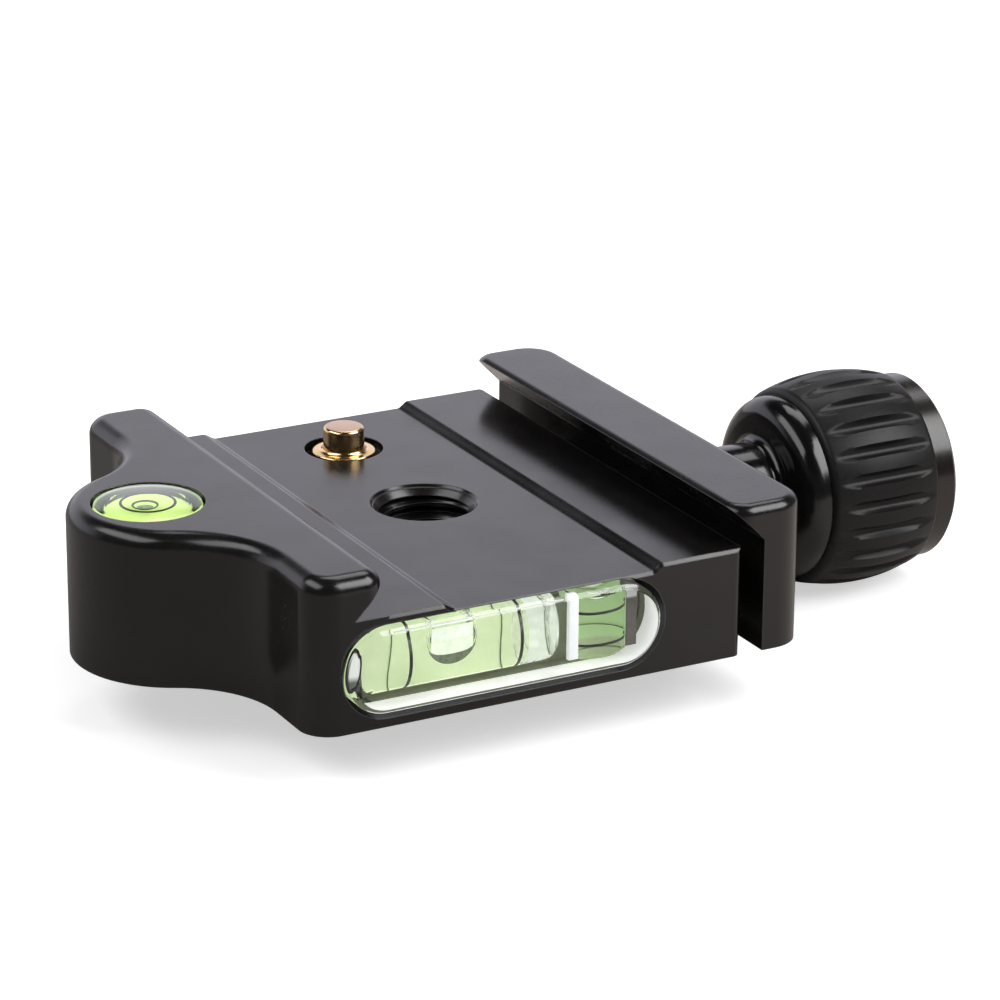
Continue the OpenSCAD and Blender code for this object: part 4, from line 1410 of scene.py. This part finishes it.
        # The liners glow behind the liquid and the plug: painted light.
        self.liner("level_tube_liner", None, self.liquid_end, TUBE_GLOW_LINER)
        self.liner("level_plug_liner", self.liquid_end, self.plug_end - 0.1, PLUG_GLOW_LINER)
        outline = []
        for k in range(25):
            a = math.pi * k / 24
            outline.append((self.bubble_radius * math.sin(a), -self.bubble_length * math.cos(a)))
        lift = self.tube_radius - self.bubble_radius - 0.02
        bubble = lathe("level_tube_bubble", outline, BUBBLE, at(0.0, 0.0, lift) @ self.along(self.bubble_x), 64)
        bubble.data.flip_normals()
        settle(bubble, Slot.LIQUID)
        self.crescent()

    def crescent(self) -> None:
        """Builds the bubble's face: a glowing pale cap, painted light, and a dark lower edge, painted shade."""
        edge, cap, y = [], [], self.front_y + self.bubble_depth
        for k in range(25):
            share = k / 12 - 1.0
            x = self.bubble_middle + share * self.bubble_half
            bend = 1.0 - math.sqrt(max(0.0, 1.0 - share * share))
            low = self.bubble_low + self.bubble_rise * bend
            high = low + 0.06 + self.bubble_edge * (1.0 - share * share)
            edge.append([(x, y, low), (x, y + 0.05, low), (x, y + 0.05, high), (x, y, high)])
            if 1 < k < 23:
                top = self.bubble_top
                cap.append([(x, y, high), (x, y + 0.05, high), (x, y + 0.05, top), (x, y, top)])
        settle(self.loft("level_bubble_edge_painted_shade", edge, BUBBLE_EDGE_SHADE), Slot.MARK)
        settle(self.loft("level_bubble_cap_painted_light", cap, BUBBLE_CAP_LIGHT), Slot.BACKING)

    def arc_strip(
        self, name: str, spans: Sequence[Tuple[float, float, float]], inner: float, outer: float, finish: Finish,
    ) -> bpy.types.Object:
        """Builds a curved strip on the level tube's wall.

        Args:
            name: The piece's name.
            spans: Angle from the front in degrees, and the strip's two ends along X.
            inner: The strip's inner radius in mm.
            outer: The strip's outer radius in mm.
            finish: The finish that it gets.

        Returns:
            The strip.
        """
        rings = []
        for angle, x0, x1 in spans:
            a = math.radians(angle)
            rings.append([
                (x, self.tube_y - q * math.cos(a), self.tube_z + q * math.sin(a))
                for x, q in ((x0, inner), (x1, inner), (x1, outer), (x0, outer))
            ])
        piece = self.loft(name, rings, finish)
        smooth(piece, 40.0)
        return piece

    def half_ring(self, name: str, x: float) -> None:
        """Builds the front half of a black ring on the level tube.

        Args:
            name: The piece's name.
            x: The ring's middle along X in mm.
        """
        half, r = self.ring_width / 2, self.tube_radius
        spans = [(angle, x - half, x + half) for angle in range(-96, 97, 6)]
        settle(self.arc_strip(name, spans, r - 0.1, r - 0.03, MARK_INK), Slot.MARK, "level_rings")

    def back_line(self, name: str, ends: Tuple[float, float, float]) -> None:
        """Builds a fine dark green line on the tube's back, a painted shadow of a front ring.

        Args:
            name: The piece's name.
            ends: The line's place along X at the top, the middle and the bottom.
        """
        top, middle, bottom = ends
        spans = []
        for angle in range(95, 266, 5):
            a = math.radians(angle)
            end = top if math.sin(a) > 0 else bottom
            x = middle + (end - middle) * abs(math.sin(a)) ** 1.6
            spans.append((angle, x - 0.06, x + 0.06))
        r = self.tube_radius
        settle(self.arc_strip(name, spans, r - 0.08, r - 0.03, SHADOW_LINE_GREEN), Slot.MARK)

    def liner(self, name: str, x0: Optional[float], x1: float, finish: Finish) -> None:
        """Builds the pale liner behind a stretch of the level tube; its glow is painted light.

        Args:
            name: The piece's name.
            x0: Where it starts along X in mm, or nothing for the slanting end.
            x1: Where it ends along X in mm.
            finish: The finish that it gets.
        """
        inner = self.tube_radius + self.liner_gap
        spans = []
        for angle in range(84, 253, 6):
            depth = self.tube_y - self.front_y - inner * math.cos(math.radians(angle))
            start = self.end_line + self.side_shift * depth if x0 is None else x0
            spans.append((angle, start, x1))
        piece = self.arc_strip(name, spans, inner, inner + self.liner_wall, finish)
        settle(piece, Slot.BACKING)

    def upright_tube(self) -> None:
        """Builds the upright tube's liquid, bubble, rings, plug and liner."""
        r, low, high = self.plumb_radius, self.plumb_start, self.plumb_end
        place = at(self.plumb_x, self.tube_y, 0.0)
        liquid = lathe(
            "upright_tube_liquid",
            [(0, low), (r - 0.4, low), (r, low + 0.3), (r, high), (0, high)],
            LIQUID, place, 96,
        )
        settle(liquid, Slot.LIQUID, "plumb_liquid")
        for number, z in enumerate(self.plumb_rings, start=1):
            self.upright_arc(f"upright_tube_ring_{number}", (z, z), (-98, 98), 0.12, MARK_INK, "plumb_rings")
        # A painted shadow line on the tube's back.
        self.upright_arc("upright_tube_line", (4.2, 4.9), (100, 260), 0.035, SHADOW_LINE_GREEN)
        outline = []
        for k in range(17):
            a = math.pi / 2 * k / 16
            outline.append((self.plumb_bubble * math.sin(a), high - 0.03 - self.plumb_bubble * 0.55 * math.cos(a)))
        outline.append((0, high - 0.03))
        bubble = lathe("upright_tube_bubble", outline, BUBBLE, place, 64)
        bubble.data.flip_normals()
        settle(bubble, Slot.LIQUID)
        plug = lathe(
            "upright_tube_plug",
            [(0, high + 0.03), (r, high + 0.03), (r, high + 0.72), (r - 0.15, high + 0.87), (0, high + 0.87)],
            PLUG, place, 96,
        )
        settle(plug, Slot.ACRYLIC, "plumb_plug")
        # The liner behind the upright tube glows as painted light, with a painted darker foot.
        rings = []
        inner, outer = r + self.liner_gap, r + self.liner_gap + self.liner_wall
        for angle in range(80, 281, 5):
            a = math.radians(angle)
            rings.append([
                (self.plumb_x - q * math.sin(a), self.tube_y - q * math.cos(a), z)
                for z, q in ((low, inner), (high, inner), (high, outer), (low, outer))
            ])
        liner = self.loft("upright_tube_liner", rings, UPRIGHT_GLOW_LINER)
        smooth(liner, 40.0)
        settle(liner, Slot.BACKING)

    def upright_arc(
        self, name: str, heights: Tuple[float, float], angles: Tuple[int, int], half: float, finish: Finish,
        *nodes: str,
    ) -> None:
        """Builds part of a ring on the upright tube.

        Args:
            name: The piece's name.
            heights: The line's height at its first and last angle, in mm.
            angles: Its first and last angle from the front, in degrees.
            half: Half the line's width in mm.
            finish: The finish that it gets.
            *nodes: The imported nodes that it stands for.
        """
        rings, r = [], self.plumb_radius
        first, last = angles
        for angle in range(first, last + 1, 7):
            share = (angle - first) / (last - first)
            z = heights[0] + (heights[1] - heights[0]) * share
            a = math.radians(angle)
            rings.append([
                (self.plumb_x + q * math.sin(a), self.tube_y - q * math.cos(a), h)
                for q, h in ((r - 0.1, z - half), (r - 0.03, z - half), (r - 0.03, z + half), (r - 0.1, z + half))
            ])
        piece = self.loft(name, rings, finish)
        smooth(piece, 40.0)
        settle(piece, Slot.MARK, *nodes)

    def slab(self, name: str, low: Vec3, high: Vec3, finish: Finish, round_by: float) -> bpy.types.Object:
        """Builds a slab with rounded edges.

        Args:
            name: The piece's name.
            low: The lowest corner in mm.
            high: The highest corner in mm.
            finish: The finish that it gets.
            round_by: The radius of its edges in mm.

        Returns:
            The slab.
        """
        bm = bmesh.new()
        bmesh.ops.create_cube(bm, size=1.0)
        for vert in bm.verts:
            for k in range(3):
                vert.co[k] = (low[k] if vert.co[k] < 0 else high[k]) * MM
        bmesh.ops.bevel(bm, geom=bm.edges, offset=round_by * MM, segments=3, profile=0.5, affect="EDGES")
        made = keep(name, bm, finish)
        smooth(made, 40.0)
        return made

    def bar(self) -> None:
        """Builds the white bar between the two tubes."""
        x0, x1 = self.bar_x
        front, top = self.front_y + self.bevel, self.middle_z + self.radius - 0.34
        low, high = (x0, front, self.bar_floor), (x1, front + self.bar_depth, top)
        bar = self.slab("level_white_bar", low, high, WHITE_BAR, 0.08)
        settle(bar, Slot.BACKING, "level_divider")

    def back(self) -> None:
        """Builds the olive strip on the block's back: painted shade of the tube on the back, lifted by a little
        painted glow.
        """
        rows = [self.back_y - 0.02, self.back_y + 0.17]
        left = self.middle_x - self.half_flat
        ring = [(max(x, left), z) for x, z in self.outline(self.radius - 0.12)]
        piece = self.loft("level_back_strip", [[(x, y, z) for x, z in ring] for y in rows], BACK_PAINTED_SHADE)
        settle(piece, Slot.BACKING, "level_backing")

    def white_wall(self) -> None:
        """Builds the glowing white skin inside the block's underside and its right end: painted light, which round
        the right end is a painted highlight.
        """
        rings = []
        right, left = self.middle_x + self.half_flat, self.middle_x - self.half_flat
        path = [(left, 180 + k) for k in range(60, 90, 5)] + [(left, 270.0), (right, 270.0)]
        path += [(right, 270.0 + k) for k in range(5, 111, 5)]
        y0, y1 = self.front_y + self.bevel + 0.1, self.front_y + self.bevel + self.wall_depth
        for middle, angle in path:
            a = math.radians(angle)
            outer = self.radius - 0.04
            inner = outer - (0.08 if angle < 370 else 0.03)
            rings.append([
                (middle + q * math.cos(a), y, self.middle_z + q * math.sin(a))
                for y, q in ((y0, inner), (y1, inner), (y1, outer), (y0, outer))
            ])
        piece = self.loft("level_white_wall", rings, WHITE_WALL_GLOW)
        smooth(piece, 40.0)
        settle(piece, Slot.BACKING)

    def floor_strip(self) -> None:
        """Builds the olive strip behind the white skin, on the block's underside: painted shade with a little painted
        glow.
        """
        left, right = self.middle_x - self.half_flat + 0.2, self.middle_x + self.half_flat
        low = self.middle_z - self.radius + 0.05
        front = self.front_y + self.bevel + self.wall_depth + 0.03
        corner = (right, self.back_y - 0.05, low + 0.1)
        strip = self.slab("level_floor_strip", (left, front, low), corner, BACK_PAINTED_SHADE, 0.02)
        settle(strip, Slot.BACKING)

    def top_edge_highlight(self) -> None:
        """Builds the bright line under the block's top front edge, a painted highlight."""
        left = self.middle_x - self.half_flat + 0.6
        (y0, z0), (y1, z1) = self.highlight_low, self.highlight_high
        line = self.slab("level_top_edge_painted_highlight", (left, y0, z0), (self.plug_end, y1, z1), TOP_EDGE_HIGHLIGHT, 0.03)
        settle(line, Slot.BACKING)

    def end_wall(self) -> None:
        """Builds the upright web beside the upright tube: dark brown as painted shade, with a pale painted highlight
        at its top.
        """
        web = self.slab("level_end_web", self.web_low, self.web_high, WEB_SHADE_AND_HIGHLIGHT, 0.05)
        settle(web, Slot.BACKING)

    def end_lens(self) -> None:
        """Builds the lens-shaped void at the block's left end as painted shade and light: a dark rim, and a lens dark
        below and pale above.
        """
        turn = Matrix.Rotation(math.radians(self.lens_turn), 4, "Y") @ Matrix.Scale(self.lens_share, 4, (1, 0, 0))
        place = at(*self.lens_at) @ turn @ Matrix.Rotation(math.radians(90), 4, "X")
        # The ink-black rim is painted shade round the lens.
        rim = [(1.62, -0.1), (1.95, -0.1), (1.95, 0.1), (1.62, 0.1)]
        settle(lathe("level_end_lens_rim", rim, MARK_INK, place, 64), Slot.MARK)
        lens = [(0, -0.12), (1.3, -0.1), (1.58, 0.0), (1.3, 0.1), (0, 0.12)]
        settle(lathe("level_end_lens", lens, LENS_SHADE_AND_LIGHT, place, 64), Slot.BACKING)


@dataclass
class Lamp:
    """A soft box lamp, placed by its direction from the clamp."""

    name: str
    azimuth: float
    elevation: float
    distance: float
    width: float
    height: float
    radiance: float

    def build(self) -> None:
        """Builds the lamp, aimed at the clamp."""
        a, e = math.radians(self.azimuth), math.radians(self.elevation)
        out = Vector((math.sin(a) * math.cos(e), math.cos(a) * math.cos(e), math.sin(e)))
        data = bpy.data.lights.new(self.name, "AREA")
        data.shape = "RECTANGLE"
        data.size, data.size_y = self.width, self.height
        data.energy = self.radiance * math.pi * self.width * self.height
        item = bpy.data.objects.new(self.name, data)
        bpy.context.scene.collection.objects.link(item)
        item.location = out * self.distance
        item.rotation_mode = "QUATERNION"
        item.rotation_quaternion = (-out).to_track_quat("-Z", "Y")


@dataclass
class Studio:
    """The camera, the floor, the pale surroundings and the lamps."""

    camera_at: Vec3 = (-0.162331, -0.316326, 0.140114)
    azimuth: float = -28.285
    elevation: float = 20.128
    roll: float = 0.375
    lens: float = 149.07
    floor_z: float = -5.56
    floor_lift: float = 0.55

    def build(self) -> None:
        """Builds the studio."""
        view = bpy.context.scene.view_settings
        view.view_transform = "Standard"
        self.camera()
        self.floor()
        self.world()
        for lamp in (
            Lamp("soft_box_right", 134.0, 41.0, 0.8, 0.58, 0.46, 6.6),
            Lamp("soft_box_left", -82.0, 50.0, 0.8, 0.85, 0.34, 3.4),
            Lamp("soft_box_back", 45.0, 58.0, 0.8, 0.45, 0.35, 3.0),
        ):
            lamp.build()

    def camera(self) -> None:
        """Builds the camera at the photograph's viewing angle."""
        a, e, r = (math.radians(v) for v in (self.azimuth, self.elevation, self.roll))
        back = Vector((math.sin(a) * math.cos(e), -math.cos(a) * math.cos(e), math.sin(e)))
        right = Vector((math.cos(a), math.sin(a), 0.0))
        up = back.cross(right)
        turned_right = right * math.cos(r) + up * math.sin(r)
        turned_up = up * math.cos(r) - right * math.sin(r)
        data = bpy.data.cameras.new("view_camera")
        data.lens = self.lens
        data.sensor_width = 36.0
        data.clip_start, data.clip_end = 0.01, 20.0
        item = bpy.data.objects.new("view_camera", data)
        bpy.context.scene.collection.objects.link(item)
        axes = Matrix((turned_right, turned_up, back)).transposed().to_4x4()
        item.matrix_world = Matrix.Translation(self.camera_at) @ axes
        bpy.context.scene.camera = item

    def floor(self) -> None:
        """Builds the plain pale floor that keeps a soft shadow; in reflections it is darker, and darker again towards
        -X, as painted shade.
        """
        size, z = 6.0, self.floor_z * MM
        mesh = bpy.data.meshes.new("floor")
        mesh.from_pydata([(-size, -size, z), (size, -size, z), (size, size, z), (-size, size, z)], [], [(0, 1, 2, 3)])
        floor = bpy.data.objects.new("floor", mesh)
        bpy.context.scene.collection.objects.link(floor)
        material = bpy.data.materials.new("pale_floor")
        material.use_nodes = True
        tree = material.node_tree
        tree.nodes.clear()
        made = Shader(tree)
        path = made.add("ShaderNodeLightPath")
        place = made.add("ShaderNodeTexCoord").outputs["Object"]
        across = made.add("ShaderNodeSeparateXYZ", Vector=place).outputs["X"]
        # Painted shade in reflections: glossy rays see a darker floor, darker still towards -X.
        mirrored = made.mix(made.ramp(across, -0.02, 0.045), rgb(0.28, 0.26, 0.247), rgb(0.56, 0.51, 0.48))
        colour = made.mix(path.outputs["Is Glossy Ray"], rgb(0.72, 0.72, 0.72), mirrored)
        paint = made.add("ShaderNodeBsdfDiffuse", Color=colour)
        seen = made.math("MULTIPLY", path.outputs["Is Camera Ray"], self.floor_lift)
        lift = made.add("ShaderNodeEmission", Color=rgb(1, 1, 1), Strength=seen)
        both = made.add("ShaderNodeAddShader", i0=paint.outputs[0], i1=lift.outputs[0])
        made.add("ShaderNodeOutputMaterial", Surface=both.outputs[0])
        mesh.materials.append(material)

    def world(self) -> None:
        """Builds the pale surroundings, darker above for what mirrors them."""
        world = bpy.data.worlds.new("pale_room")
        bpy.context.scene.world = world
        world.use_nodes = True
        tree = world.node_tree
        tree.nodes.clear()
        made = Shader(tree)
        path = made.add("ShaderNodeLightPath").outputs
        toward = made.add("ShaderNodeTexCoord").outputs["Generated"]
        split = made.add("ShaderNodeSeparateXYZ", Vector=toward).outputs
        low_band = made.ramp(split["Z"], 0.40, 0.54, 1.0, 0.0)
        behind = made.ramp(split["Y"], 0.25, 0.75, 0.07, 1.1)
        mirrored = made.math("ADD", made.math("MULTIPLY", low_band, behind), 0.012)
        sight = made.math("MAXIMUM", path["Is Glossy Ray"], path["Is Transmission Ray"])
        strength = made.add("ShaderNodeMix", {"data_type": "FLOAT"}, i0=sight, i2=0.30, i3=mirrored).outputs[0]
        final = made.add("ShaderNodeMix", {"data_type": "FLOAT"}, i0=path["Is Camera Ray"], i2=strength, i3=1.0)
        tint = made.mix(path["Is Glossy Ray"], rgb(1, 1, 1), rgb(0.97, 0.96, 1.06))
        glow = made.add("ShaderNodeBackground", Color=tint, Strength=final.outputs[0])
        made.add("ShaderNodeOutputWorld", Surface=glow.outputs[0])


def main() -> None:
    """Builds the whole scene in order."""
    logging.basicConfig(level=logging.INFO, format="%(name)s %(message)s")
    surface_grain_group()
    turning_lines_group()
    for part in (Chassis(), SlidingParts(), Knob(), SafetyPin(), RoundLevel(), TwoWayLevel()):
        part.build()
    Studio().build()


if __name__ == "__main__":
    main()
